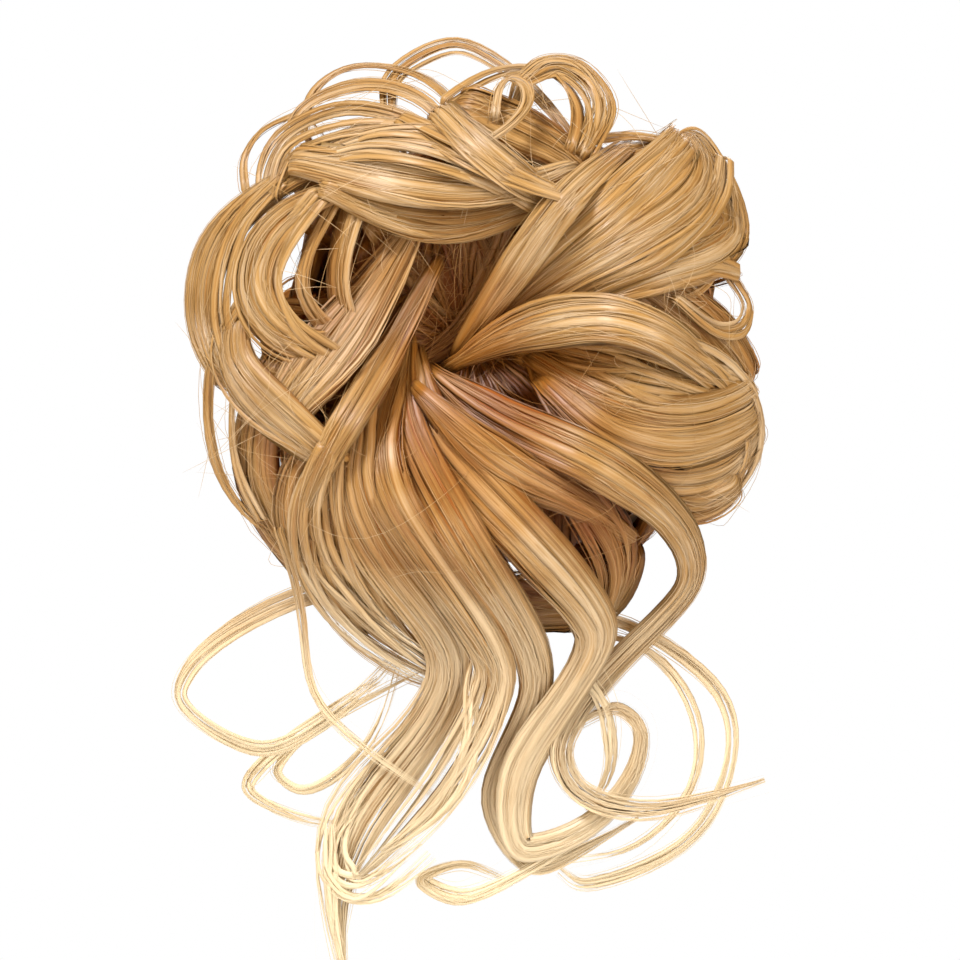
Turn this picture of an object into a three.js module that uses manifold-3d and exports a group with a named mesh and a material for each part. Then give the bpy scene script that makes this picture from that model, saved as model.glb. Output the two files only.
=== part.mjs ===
// A messy bun hairpiece: an elastic hair tie, the weft that is sewn round it, a looped mass of hair with a
// pocket at the back for the wearer's own knot, and the curls and falling tendrils that lie over it.
// Millimetres, +Z up. The tie's seat on the head is the plane y = 0, the hair stands out along -Y,
// and the origin is the middle of the tie on that plane.
import * as THREE from "three";
import { LoftGeometry } from "three/addons/geometries/LoftGeometry.js";
import { mergeVertices } from "three/addons/utils/BufferGeometryUtils.js";
import Module from "manifold-3d";

const wasm = await Module();
wasm.setup();

// The bun and its tendrils
const reach = 88; // from the middle of the tie to the outermost curls
const bunDepth = 72; // from the seat to the curls that stand out furthest
const tendrilFall = 126; // from the bun's lower edge to the lowest tip
const layerRise = 3.4; // from one layer of locks to the next
const gap = 0.5; // between neighbouring pieces

// The elastic tie, and the weft that is sewn round it
const tieInside = 21.5;
const tieCord = 8.6;
const weftDepth = 7;
const weftThickness = 3.4;

// The looped mass of hair under the curls
const pocketDepth = 30;
const pocketRoof = 5;
const pocketWall = 0.7; // where its straight wall ends, as a share of its depth
const pocketFloor = 0.75; // where its floor starts to round off, as a share of the tie's inner radius
const pocketBend = 0.95; // and at which share of its depth
const massReach = 56;
const massLean = 11; // what the reach gains towards the lower right, and loses towards the upper left
const massLeanAngle = -30;
const massRidge = 1.3;
const massRidgeCount = 8;

// The curls at the back, which turn from the weft round the mass's rim
const backCurlCount = 9;
const backCurlWidth = 23;
const backCurlSwirl = 46;

// A lock of hair in section
const tipThickness = 0.9;
const plumpness = 0.26; // the thickness that a lock gains for each millimetre of width
const edgeBend = 1.2; // its most width where it bends edgewise, as a share of the bend's radius

const degree = Math.PI / 180;
const percent = 0.01;
const roundSteps = 28;
const sliver = 0.03; // the largest detail that is smoothed out of a cut piece
const weld = 0.001; // vertices this near to each other are one
const cordSides = 8;
const lockSides = 6;
const stepsPerSpan = 1.45;

// How far the curls stand out, as a share of the bun's depth, at a share of the reach from the middle
const domeRows = [
  { from: 0, out: 0.58 },
  { from: 0.22, out: 0.68 },
  { from: 0.42, out: 0.84 },
  { from: 0.6, out: 0.9 },
  { from: 0.78, out: 0.8 },
  { from: 0.94, out: 0.6 },
  { from: 1.1, out: 0.47 },
  { from: 1.5, out: 0.4 },
  { from: 2.4, out: 0.3 },
];

// The mass in section, from its front to its back. Spread is 0 at the weft and 1 at the rim,
// and out is a share of the bun's depth.
const massRows = [
  { spread: 0.02, out: 0.62 },
  { spread: 0.3, out: 0.7 },
  { spread: 0.62, out: 0.7 },
  { spread: 0.88, out: 0.59 },
  { spread: 1, out: 0.42 },
  { spread: 0.94, out: 0.24 },
  { spread: 0.7, out: 0.11 },
  { spread: 0.35, out: 0.06 },
];
const massBack = 0.06; // where it meets the weft, as a share of the bun's depth

// A curl at the back. Spread and out are as in the mass, swirl is a share of the whole turn, and wide is a
// share of the curl's width.
const backCurlRows = [
  { spread: 0.15, out: 0.055, swirl: 0, wide: 0.5 },
  { spread: 0.55, out: 0.055, swirl: 0.15, wide: 0.95 },
  { spread: 0.92, out: 0.15, swirl: 0.4, wide: 1 },
  { spread: 1.04, out: 0.38, swirl: 0.7, wide: 0.8 },
  { spread: 0.96, out: 0.62, swirl: 1, wide: 0.4 },
];

// Below this share of the reach a lock hangs, and the next span of it is the tendrils' whole fall.
const hangFrom = 0.7;
const hangSpan = 1.43;

// A rooted end turns back under the other curls to the mass's rim, at this share of the bun's depth.
const rootOut = 0.42;

// Each curl is one lock or a few that run together, and lies over the curls before it in this table.
// A lock's row has the places that it passes, across and up in hundredths of the reach. Spread along it
// are its lift, in layers above the dome, and its width, in hundredths of the reach. Rooted says which
// of its ends are rooted.
const curls = {
  hollow_left_lock: [
    { across: [-37, -42, -43, -38], up: [52, 34, 16, 1], lift: [-2, -1, -2], wide: [4, 7, 4] },
  ],
  hollow_right_lock: [
    { across: [3, 10, 6, -5, -16], up: [40, 27, 13, 1, -6], lift: [-4, -1, -2.2], wide: [4, 9, 4] },
  ],
  left_rim_curl: [
    {
      across: [-48, -74, -88, -93, -91, -80],
      up: [60, 50, 36, 18, 2, -14],
      lift: [-2],
      wide: [4, 7, 4],
      rooted: "both",
    },
  ],
  left_rim_fold: [
    {
      across: [-44, -63, -77, -85, -87, -80],
      up: [60, 53, 42, 28, 12, -8],
      lift: [-1],
      wide: [5, 11, 5],
      rooted: "both",
    },
  ],
  left_ring_curl: [
    {
      across: [-36, -55, -68, -71, -64, -51, -36],
      up: [52, 46, 33, 18, 5, -1, 3],
      lift: [0],
      wide: [6, 14, 12, 6],
    },
  ],
  left_under_locks: [
    {
      across: [-62, -70, -70, -62, -48],
      up: [-8, -28, -46, -62, -77],
      lift: [-2],
      wide: [9, 16, 10],
      rooted: "both",
    },
    {
      across: [-46, -56, -57, -48, -33],
      up: [-30, -46, -62, -78, -92],
      lift: [-1],
      wide: [9, 16, 7],
      rooted: "both",
    },
  ],
  left_long_loop: [
    {
      across: [-72, -83, -87, -83, -70, -50],
      up: [18, 2, -20, -44, -61, -70],
      lift: [0, -1],
      wide: [3, 4, 3],
    },
  ],
  left_fan: [
    {
      across: [-19, -28, -39, -50, -62],
      up: [36, 22, 5, -9, -24],
      lift: [0],
      wide: [6, 20, 9],
      rooted: "end",
    },
  ],
  left_fold: [
    {
      across: [-76, -77, -68, -55, -41],
      up: [8, -6, -19, -29, -40],
      lift: [0, 1],
      wide: [7, 17, 12],
      rooted: "start",
    },
  ],
  left_dart: [
    {
      across: [-13, -22, -31, -41, -50],
      up: [22, 5, -12, -28, -44],
      lift: [1, 2.6, 2.6],
      wide: [4, 10, 6],
    },
  ],
  lower_bowl_lock: [
    {
      across: [-22, 8, 42, 52],
      up: [-62, -86, -86, -70],
      lift: [-4, -3],
      wide: [7, 16, 9],
      rooted: "both",
    },
  ],
  lower_right_lock: [
    {
      across: [28, 42, 50, 49, 43],
      up: [-40, -56, -70, -84, -96],
      lift: [-1, -2],
      wide: [9, 16, 6],
      rooted: "start",
    },
  ],
  right_arc_tendril: [
    {
      across: [24, 52, 85, 90, 76, 38, 31],
      up: [-88, -92, -115, -136, -166, -181, -176],
      lift: [-3, -2],
      wide: [5, 6, 5, 3],
    },
  ],
  left_great_loop: [
    {
      across: [-30, -56, -92, -97, -69, -34, -20],
      up: [-80, -83, -104, -119, -136, -115, -98],
      lift: [-3, -1, 0, -3],
      wide: [4, 7, 8, 4],
      rooted: "start",
    },
  ],
  left_low_loop: [
    { across: [-30, -60, -74, -57, -38], up: [-112, -131, -148, -159, -162], lift: [-2], wide: [3, 5, 3] },
  ],
  left_thin_tendril: [
    { across: [-63, -56, -53, -41, -9], up: [-62, -84, -114, -130, -152], lift: [0, 2], wide: [3, 3, 2] },
  ],
  first_tendril: [
    {
      across: [-34, -39, -32, -6, -9, -38, -44, -41],
      up: [-20, -44, -66, -102, -121, -160, -190, -213],
      lift: [0],
      wide: [7, 16, 16, 14, 14, 18, 7, 3],
    },
  ],
  second_tendril: [
    {
      across: [-22, -29, -25, 2, 10, -7, -36],
      up: [-8, -31, -52, -92, -110, -147, -177],
      lift: [0, 0, 1, 1, 2, 3, 2],
      wide: [6, 13, 15, 14, 12, 14, 5],
    },
  ],
  third_tendril: [
    {
      across: [-20, -22, -3, 21, 23, 8, 22, 57],
      up: [-4, -24, -62, -100, -117, -152, -175, -158],
      lift: [0, 1, 1, 0, 0],
      wide: [5, 12, 15, 12, 10, 8, 6, 2],
    },
  ],
  low_loop_tendril: [
    {
      across: [36, 17, -3, -15, -2, 12],
      up: [-166, -178, -186, -179, -173, -179],
      lift: [1, 1, 0, -1],
      wide: [3, 5, 4, 2],
    },
  ],
  fourth_tendril: [
    {
      across: [-16, -12, 20, 43, 38, 16, 18, 47, 54, 33],
      up: [-8, -29, -65, -95, -110, -143, -168, -154, -123, -123],
      lift: [1, 2, 1, 0],
      wide: [5, 14, 17, 12, 10, 11, 7, 5, 4, 2],
    },
  ],
  inner_curl_tendril: [
    { across: [36, 47, 48, 40], up: [-108, -122, -142, -156], lift: [1.4, 0, -1], wide: [3, 5, 3] },
  ],
  under_ribbon_lock: [
    { across: [22, 29, 41, 56], up: [4, -12, -27, -42], lift: [-2, -1, -1], wide: [7, 15, 10] },
  ],
  right_back_lock: [
    { across: [48, 66, 82, 91], up: [24, 16, 4, -12], lift: [-1, -2], wide: [9, 18, 10], rooted: "end" },
  ],
  right_low_curl: [
    { across: [44, 60, 76, 88], up: [-36, -49, -53, -46], lift: [-1], wide: [8, 14, 8], rooted: "end" },
    {
      across: [36, 54, 71, 86, 95],
      up: [-25, -41, -45, -40, -28],
      lift: [0, -1],
      wide: [8, 14, 8],
      rooted: "end",
    },
  ],
  right_high_curl: [
    {
      across: [28, 45, 62, 79, 94],
      up: [-14, -28, -34, -33, -24],
      lift: [1, 1, 0],
      wide: [7, 14, 9],
      rooted: "end",
    },
    {
      across: [24, 44, 62, 80, 93],
      up: [-6, -18, -23, -22, -14],
      lift: [1, 1, 0],
      wide: [6, 11, 8],
      rooted: "end",
    },
  ],
  fifth_tendril: [
    {
      across: [-9, 7, 44, 72, 74, 39, 32, 61, 99],
      up: [-11, -23, -40, -62, -80, -117, -143, -155, -145],
      lift: [1, 2, 2, 0, 0, 2, 2, 2],
      wide: [5, 14, 16, 11, 9, 9, 8, 9, 2],
    },
  ],
  centre_lock: [
    { across: [-14, 1, 17, 36, 61], up: [-18, -33, -44, -52, -70], lift: [3, 3, 0], wide: [5, 15, 6] },
  ],
  ear_loop: [
    { across: [80, 93, 91, 82, 70], up: [32, 14, 6, 5, 14], lift: [-1, 0, 0], wide: [3, 5, 6, 3] },
  ],
  right_fan_low: [
    {
      across: [18, 41, 61, 79, 87, 83],
      up: [8, 16, 24, 30, 38, 49],
      lift: [0, 0, -2],
      wide: [6, 16, 6],
      rooted: "end",
    },
  ],
  right_fan: [
    {
      across: [12, 36, 56, 72, 77, 72],
      up: [8, 24, 36, 47, 59, 68],
      lift: [1, 1, -1],
      wide: [6, 18, 6],
      rooted: "end",
    },
    {
      across: [9, 27, 45, 59, 71],
      up: [9, 27, 41, 54, 67],
      lift: [1, 1, 0],
      wide: [6, 16, 7],
      rooted: "end",
    },
  ],
  right_rim_arch: [
    {
      across: [68, 77, 92, 93, 84],
      up: [66, 70, 48, 35, 24],
      lift: [-1],
      wide: [4, 6, 4],
      rooted: "start",
    },
  ],
  bridge_wisp: [{ across: [30, 49, 60, 70], up: [56, 63, 65, 70], lift: [-1, -2], wide: [4, 7, 4] }],
  fan_inner: [{ across: [-1, 10, 21, 32, 45], up: [1, 16, 32, 46, 59], lift: [1, 3, 2], wide: [4, 12, 7] }],
  right_ribbon: [
    {
      across: [-2, 12, 29, 46, 62, 76],
      up: [-5, 3, 7, 8, 3, -6],
      lift: [2, 4, 4, 2],
      wide: [3, 15, 14, 7],
      rooted: "end",
    },
  ],
  high_arch: [
    {
      across: [-26, -25, -4, 19, 35],
      up: [76, 90, 101, 88, 66],
      lift: [-3, -2, -2, -3],
      wide: [4, 6, 6, 4],
      rooted: "both",
    },
  ],
  left_high_arch: [
    {
      across: [-60, -56, -34, -13, -5],
      up: [56, 78, 87, 80, 67],
      lift: [-2, -1, -2],
      wide: [4, 5, 4],
      rooted: "both",
    },
  ],
  left_low_arch: [
    {
      across: [-67, -63, -42, -18, -5],
      up: [50, 68, 79, 74, 65],
      lift: [-1, 0, -1],
      wide: [4, 7, 4],
      rooted: "both",
    },
  ],
  crown_right_lock: [
    { across: [-2, 17, 34, 47], up: [78, 70, 62, 48], lift: [-1], wide: [7, 17, 9], rooted: "start" },
  ],
  broad_arch: [
    { across: [-64, -59, -38, -13, -3], up: [50, 63, 72, 71, 66], lift: [0, 1, 0], wide: [5, 9, 5] },
  ],
  crown_sweep: [
    {
      across: [-57, -39, -20, 0, 17, 32],
      up: [60, 57, 53, 50, 51, 57],
      lift: [0, 2, 1],
      wide: [6, 16, 6],
      rooted: "start",
    },
  ],
  crown_under_sweep: [
    { across: [-46, -29, -11, 8, 24], up: [50, 42, 38, 40, 46], lift: [1, 1, 0], wide: [5, 12, 7] },
  ],
  crown_diagonal: [
    {
      across: [-9, 0, 11, 22, 33],
      up: [76, 67, 58, 51, 45],
      lift: [1, 3, 3, 1],
      wide: [6, 11, 6],
      rooted: "start",
    },
  ],
  upper_curl: [
    {
      across: [20, 29, 38, 41, 37],
      up: [87, 91, 85, 75, 63],
      lift: [1, 1, 0],
      wide: [5, 13, 6],
      rooted: "end",
    },
    {
      across: [17, 25, 37, 46, 39],
      up: [87, 94, 93, 80, 63],
      lift: [1, 1, 0],
      wide: [5, 8, 5],
      rooted: "end",
    },
  ],
  hook_curl: [
    { across: [12, 11, 17, 21, 12, 2], up: [79, 85, 88, 81, 73, 65], lift: [1, 3, 3], wide: [3, 4, 3] },
  ],
};

function solidFrom(geometry) {
  const plain = new THREE.BufferGeometry().copy(geometry);
  plain.deleteAttribute("normal");
  plain.deleteAttribute("uv");
  const merged = mergeVertices(plain, weld);
  return new wasm.Manifold(
    new wasm.Mesh({
      numProp: 3,
      vertProperties: merged.attributes.position.array,
      triVerts: new Uint32Array(merged.index.array),
    }),
  );
}

function geometryFrom(solid) {
  const { vertProperties, triVerts } = solid.getMesh();
  const geometry = new THREE.BufferGeometry();
  geometry.setAttribute("position", new THREE.BufferAttribute(vertProperties, 3));
  geometry.setIndex(new THREE.BufferAttribute(triVerts, 1));
  return geometry;
}

// The value of a column between the rows of a table that is sorted by its "from" column.
function between(rows, from, column) {
  const next = rows.findIndex((row) => row.from > from);
  if (next < 1) return rows.at(next)[column];
  const [low, high] = [rows[next - 1], rows[next]];
  return THREE.MathUtils.mapLinear(from, low.from, high.from, low[column], high[column]);
}

// A smooth value at a share of the way along evenly spread ones.
function spreadAlong(values, along) {
  if (values.length === 1) return values[0];
  return new THREE.SplineCurve(values.map((value, i) => new THREE.Vector2(i, value))).getPoint(along).y;
}

const tieOutside = tieInside + tieCord;
const weftInside = tieOutside + gap;
const weftOutside = weftInside + weftThickness;
const seatInside = weftOutside + gap;
const rootDepth = rootOut * bunDepth;

// A ring round the tie's axis, of an oval section between two radii and two distances from the seat.
function ring(inside, outside, back, front) {
  const section = [];
  for (let side = 0; side <= cordSides; side++) {
    const turn = (side / cordSides) * 2 * Math.PI;
    section.push(
      new THREE.Vector2(
        (inside + outside) / 2 + (Math.cos(turn) * (outside - inside)) / 2,
        (-(back + front) + Math.sin(turn) * (front - back)) / 2,
      ),
    );
  }
  return solidFrom(new THREE.LatheGeometry(section, roundSteps));
}

// A point at an angle round the tie's axis.
function roundAxis(radius, out, angle) {
  return new THREE.Vector3(radius * Math.cos(angle), -out, radius * Math.sin(angle));
}

function massRim(angle) {
  return massReach + massLean * Math.cos(angle - massLeanAngle * degree);
}

// The mass's section at an angle, from the axis at its front round to the axis at its back. It leans to one
// side, and is ridged like curls that swirl round it.
function massSection(angle) {
  const outside = massRows.map(({ spread, out }) => {
    const ridge = massRidge * spread * Math.cos(massRidgeCount * (angle + 2 * out));
    const radius = THREE.MathUtils.lerp(seatInside, massRim(angle), spread) + ridge;
    return new THREE.Vector2(radius, out * bunDepth);
  });
  return [
    new THREE.Vector2(0, pocketDepth + pocketRoof),
    ...outside,
    new THREE.Vector2(seatInside, massBack * bunDepth),
    new THREE.Vector2(seatInside, weftDepth + gap),
    new THREE.Vector2(tieInside, weftDepth + gap),
    new THREE.Vector2(tieInside, pocketWall * pocketDepth),
    new THREE.Vector2(pocketFloor * tieInside, pocketBend * pocketDepth),
    new THREE.Vector2(0, pocketDepth),
  ];
}

// A section whose every side is moved outwards, with its two ends still on the axis.
function grownSection(corners, grow) {
  const last = corners.length - 1;
  const normals = corners.slice(1).map((corner, side) => {
    const along = corner.clone().sub(corners[side]).normalize();
    return new THREE.Vector2(-along.y, along.x);
  });
  return corners.map((corner, i) => {
    const before = normals[Math.max(i - 1, 0)];
    const after = normals[Math.min(i, last - 1)];
    const grown = corner.clone().addScaledVector(before.clone().add(after), grow / (1 + before.dot(after)));
    return i === 0 || i === last ? grown.setX(0) : grown;
  });
}

function hairMass(grow) {
  const sectionAt = (angle) => grownSection(massSection(angle), grow);
  const geometry = new THREE.LatheGeometry(sectionAt(0), roundSteps);
  const position = geometry.attributes.position;
  const rows = position.count / (roundSteps + 1);
  for (let step = 0; step <= roundSteps; step++) {
    const angle = (1 - step / roundSteps) * 2 * Math.PI;
    sectionAt(angle).forEach((corner, row) => {
      position.setXYZ(step * rows + row, ...roundAxis(corner.x, corner.y, angle));
    });
  }
  return solidFrom(geometry);
}

// The way that a lock's broad side faces: out from the bun's middle, and towards the front in the tendrils.
function facingOut(place) {
  const hanging = THREE.MathUtils.clamp(-place.z / reach - hangFrom, 0, 1);
  const sideways = THREE.MathUtils.clamp(place.x / reach, -1, 1);
  const upwards = THREE.MathUtils.clamp(place.z / reach, -1, 1) * (1 - hanging);
  return new THREE.Vector3(sideways, -1, upwards).normalize();
}

// The way that a curl's broad side faces where it goes round the mass.
function facingRound(place) {
  const angle = Math.atan2(place.z, place.x);
  return place.clone().sub(roundAxis((seatInside + massRim(angle)) / 2, rootDepth, angle));
}

// The way that each section is broad. It follows the facing without a twist, from the middle outwards.
function sidesOf(middles, tangents, facing) {
  const last = middles.length - 1;
  const start = Math.floor(last / 2);
  const sides = [];
  for (const way of [-1, 1]) {
    for (let step = start; step >= 0 && step <= last; step += way) {
      const side = facing(middles[step]).cross(tangents[step]);
      if (step !== start) side.add(sides[step - way]);
      sides[step] = side.addScaledVector(tangents[step], -side.dot(tangents[step])).normalize();
    }
  }
  return sides;
}

// One lock, lofted through oval sections along a smooth curve. It is narrow where it bends hard edgewise.
function lock(places, widths, grow, facing) {
  const route = new THREE.CatmullRomCurve3(places);
  const steps = Math.round((places.length - 1) * stepsPerSpan);
  const middles = route.getPoints(steps);
  const tangents = middles.map((_, step) => route.getTangent(step / steps));
  const sides = sidesOf(middles, tangents, facing);
  const sections = middles.map((middle, step) => {
    const tangent = tangents[step];
    const side = sides[step];
    const normal = new THREE.Vector3().crossVectors(tangent, side);
    const limits = [step - 1, step + 1]
      .filter((next) => next >= 0 && next <= steps)
      .map((next) => (edgeBend * middle.distanceTo(middles[next])) / Math.abs(tangents[next].dot(side)));
    const width = Math.min(spreadAlong(widths, step / steps), ...limits);
    const halfWidth = width / 2 + grow;
    const halfThickness = (tipThickness + plumpness * width) / 2 + grow;
    const end = Math.sign(step - steps) + Math.sign(step);
    const centre = middle.clone().addScaledVector(tangent, end * grow);
    return Array.from({ length: lockSides }, (_, corner) => {
      const turn = (corner / lockSides) * 2 * Math.PI;
      const point = centre.clone().addScaledVector(side, halfWidth * Math.cos(turn));
      return point.addScaledVector(normal, halfThickness * Math.sin(turn));
    });
  });
  return solidFrom(new LoftGeometry(sections, { capStart: true, capEnd: true }));
}

function rootOf(place) {
  const angle = Math.atan2(place.z, place.x);
  return roundAxis(massRim(angle), rootDepth, angle);
}

// Where a lock passes, on the dome of curls or in the tendrils below it.
function placesOf({ across, up, lift, rooted }) {
  const places = across.map((share, i) => {
    const height = up[i] * percent;
    const hung = Math.max(0, -height - hangFrom);
    const dome = between(domeRows, Math.hypot(share * percent, height), "out");
    return new THREE.Vector3(
      share * percent * reach,
      -dome * bunDepth - spreadAlong(lift, i / (across.length - 1)) * layerRise,
      (height + hung) * reach - (hung / hangSpan) * tendrilFall,
    );
  });
  if (rooted === "start" || rooted === "both") places.unshift(rootOf(places[0]));
  if (rooted === "end" || rooted === "both") places.push(rootOf(places.at(-1)));
  return places;
}

function curl(locks, grow) {
  return wasm.Manifold.union(
    locks.map((row) =>
      lock(
        placesOf(row),
        row.wide.map((wide) => wide * percent * reach),
        grow,
        facingOut,
      ),
    ),
  );
}

function backCurl(start, grow) {
  const places = backCurlRows.map(({ spread, out, swirl }) => {
    const angle = start + swirl * backCurlSwirl * degree;
    const thickness = tipThickness + plumpness * backCurlWidth;
    const radius = THREE.MathUtils.lerp(seatInside, massRim(angle) + thickness, spread);
    return roundAxis(radius, out * bunDepth, angle);
  });
  return lock(
    places,
    backCurlRows.map(({ wide }) => wide * backCurlWidth),
    grow,
    facingRound,
  );
}

const materials = {
  tie: new THREE.MeshStandardMaterial({ color: 0x8a6238, roughness: 0.85 }),
  weft: new THREE.MeshStandardMaterial({ color: 0xa67c48, roughness: 0.7 }),
  hair: new THREE.MeshStandardMaterial({ color: 0xcfa366, roughness: 0.42 }),
};

const hairpiece = new THREE.Group();
const laid = [];

// Adds a piece as it lies on the ones before it: what they fill, with the gap, is cut away from it.
function lay(name, material, shape) {
  const whole = shape(0);
  const below = laid.filter((piece) => whole.minGap(piece, gap) < gap);
  const cut = wasm.Manifold.difference([whole, ...below]).simplify(sliver);
  const bodies = solidFrom(geometryFrom(cut)).decompose();
  const largest = bodies.reduce((best, body) => (body.volume() > best.volume() ? body : best));
  const mesh = new THREE.Mesh(geometryFrom(largest), material);
  mesh.name = name;
  hairpiece.add(mesh);
  laid.push(shape(gap));
}

lay("elastic_tie", materials.tie, (grow) => {
  return ring(tieInside - grow, tieOutside + grow, -grow, tieCord + grow);
});
lay("weft", materials.weft, (grow) => {
  return ring(weftInside - grow, weftOutside + grow, gap - grow, weftDepth + grow);
});
lay("hair_mass", materials.hair, hairMass);
for (let i = 0; i < backCurlCount; i++) {
  const start = (i / backCurlCount) * 2 * Math.PI;
  lay(`back_curl_${i + 1}`, materials.hair, (grow) => backCurl(start, grow));
}
for (const [name, locks] of Object.entries(curls)) {
  lay(name, materials.hair, (grow) => curl(locks, grow));
}

export default hairpiece;
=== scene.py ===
"""The looks of a messy bun of false hair: strands in every lock, on a ruched elastic tie and a sewn weft."""

import math

import bmesh
import bpy
import numpy as np
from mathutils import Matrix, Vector


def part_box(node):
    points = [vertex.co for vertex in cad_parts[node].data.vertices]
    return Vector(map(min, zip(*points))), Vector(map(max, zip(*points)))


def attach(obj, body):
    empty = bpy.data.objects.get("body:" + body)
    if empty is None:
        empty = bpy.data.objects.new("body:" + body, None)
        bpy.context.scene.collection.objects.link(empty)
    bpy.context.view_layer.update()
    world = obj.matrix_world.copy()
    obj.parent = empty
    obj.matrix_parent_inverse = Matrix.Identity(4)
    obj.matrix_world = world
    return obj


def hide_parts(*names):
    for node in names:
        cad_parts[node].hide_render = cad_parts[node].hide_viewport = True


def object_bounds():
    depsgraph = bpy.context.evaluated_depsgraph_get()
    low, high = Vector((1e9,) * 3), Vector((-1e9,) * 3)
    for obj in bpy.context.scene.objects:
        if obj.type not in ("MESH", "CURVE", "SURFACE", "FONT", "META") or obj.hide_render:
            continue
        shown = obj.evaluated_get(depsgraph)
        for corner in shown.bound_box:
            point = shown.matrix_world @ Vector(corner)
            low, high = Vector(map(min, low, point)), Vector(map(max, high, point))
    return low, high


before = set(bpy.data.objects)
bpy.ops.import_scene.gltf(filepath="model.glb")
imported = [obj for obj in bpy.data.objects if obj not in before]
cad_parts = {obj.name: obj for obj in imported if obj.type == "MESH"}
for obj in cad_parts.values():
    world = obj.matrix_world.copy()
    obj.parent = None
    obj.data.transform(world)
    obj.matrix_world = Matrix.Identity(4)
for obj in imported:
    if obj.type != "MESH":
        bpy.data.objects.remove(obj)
cad_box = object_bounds()

MM = 0.001
PERCENT = 0.01

# The bun and its tendrils, as the solids have them
reach = 88 * MM  # from the middle of the tie to the outermost curls
bun_depth = 72 * MM  # from the seat to the curls that stand out furthest
tendril_fall = 126 * MM  # from the bun's lower edge to the lowest tip
layer_rise = 3.4 * MM  # from one layer of locks to the next
gap = 0.5 * MM
hang_from = 0.7  # below this share of the reach a lock hangs
hang_span = 1.43  # and this much more of it is the tendrils' whole fall
root_out = 0.42  # where rooted ends meet the mass's rim, as a share of the bun's depth

# The tie and the weft, from the frame
tie_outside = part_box("elastic_tie")[1].x
tie_depth = -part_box("elastic_tie")[0].y
tie_inside = tie_outside - tie_depth
tie_corners = 24
gather_count = 56
steps_per_gather = 6
gather_depth = 0.22  # as a share of the cord's radius
gather_wander = 1.3  # how far the gathers stray from straight ones
weft_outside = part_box("weft")[1].x
weft_front = -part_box("weft")[0].y
seat_inside = weft_outside + gap
weft_strand_count = 240
weft_strand_thickness = 0.7 * MM
stitch_rows = (0.28, 0.62)  # as shares of a half turn round the band, from its outside over its back
stitch_count = 70
stitch_swing = 0.16  # how far the thread swings to the two sides of its row, in the same shares
thread_thickness = 0.5 * MM

# The looped mass of hair under the curls
mass_reach = 56 * MM
mass_lean = 11 * MM
mass_lean_angle = math.radians(-30)
mass_ridge = 1.3 * MM  # the height of the ridges that swirl round it
mass_ridge_count = 8
pocket_depth = 30 * MM
pocket_roof = 5 * MM
pocket_wall = 0.7  # where its straight wall ends, as a share of its depth
pocket_floor = 0.75  # where its floor rounds off, as a share of the tie's inner radius
pocket_bend = 0.95  # and how deep that is, as a share of its depth
mass_steps = 96
hollow_outs = [0.59, 0.54, 0.5]  # where hair lies in the hollow at its front, in shares of the bun's depth
hollow_spans = [0.8, 0.45, 0.08]  # and from the axis, in shares of the weft's radius
hollow_facing = 1.5  # how much the hair in there is turned to the front
mass_strand_rings = 26
weld = 0.01 * MM

# The curls at the back
back_curl_count = 9
back_curl_width = 23 * MM
back_curl_swirl = math.radians(46)

# A lock in section
tip_thickness = 0.9 * MM
plumpness = 0.26  # what its width adds to its thickness
edge_bend = 1.2  # its greatest width, as a share of the radius that it bends to edgewise
steps_per_span = 1.45  # in which its broad side is turned from one of its places to the next
tip_gather = 0.3  # how far its strands come together at a tip, as a share of their spread
gather_length = 0.3  # and over how much of its length
tip_onset = 0.8  # below 1 a tendril gets its tip's colour sooner on its way down; that paleness is partly the hair's own and partly painted light shining through it

# The bands and strands of hair
band_pitch = 1.5 * MM  # from one band to the next round a lock
band_overlap = 1.9  # how wide a band is, in pitches
band_thickness = 0.42 * MM
band_sides = 4
strand_thickness = 0.26 * MM
strand_pitch = 0.85 * MM  # from one strand over the bands to the next
strand_sides = 3
stray_thickness = 0.16 * MM
hairs_per_ring = 0.55  # fine hairs that cross a lock, for each of its rings
frays_per_lock = 2
strays_per_lock = 3
ring_step = 14 * MM  # from one ring of a band or strand to the next where it is straight
rings_per_radian = 4.8  # and where it bends
core_sides = 12
core_size = 0.95  # as a share of the lock
rounding_passes = 5
dive_length = 8 * MM  # how far an end that isn't rooted goes on as it sinks between the other locks
dive_depth = 17 * MM
dive_bend = 0.8  # where it bends down, as a share of that length
dive_end = 0.35  # the width that is left of it, as a share
dive_rings = 5
dive_edge = 0.5  # from this share of the reach outwards it turns in and is shorter
dive_edge_span = 0.3  # fully so this much further out
dive_inward = 0.14  # how far it turns in there, as a share of its place
dive_shortened = 0.6  # and how much shorter it is, as a share
stray_count = 170
stray_rings = 18
hollow_hair_count = 130
hollow_hair_rings = 12

# Where the hair is in the shade of the hair over it
full_depth = 12 * MM  # from where the shade starts to where it is full
lid_rise = 2 * MM  # how far outside the dome of curls it starts, over the bun's middle
lid_edge = 0.3  # that rise runs out to the reach over this share of it
lower_rise = 8 * MM  # how much further out the shade starts below the hub
lower_tone = 0.22  # and how much darker the hair is there
lower_shade = dict(across=0.1, up=-0.42, wide=0.5, high=0.38)  # where that is, in shares of the reach
lower_edge = 1.5  # and where it ends, in shares of that width and height
rim_cover = 22 * MM  # how far outside the mass's rim the shade ends
back_cover = 4 * MM  # and how far behind the seat
painted_shade_per_layer = 0.035  # painted shade and light: how much lighter a lock is for each layer that it lies further out, less in the shade of the locks over it
seed = 7

# How far the curls stand out, as a share of the bun's depth, at a share of the reach from the middle
dome_rows = [
    dict(at=0, out=0.58),
    dict(at=0.22, out=0.68),
    dict(at=0.42, out=0.84),
    dict(at=0.6, out=0.9),
    dict(at=0.78, out=0.8),
    dict(at=0.94, out=0.6),
    dict(at=1.1, out=0.47),
    dict(at=1.5, out=0.4),
    dict(at=2.4, out=0.3),
]

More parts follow.
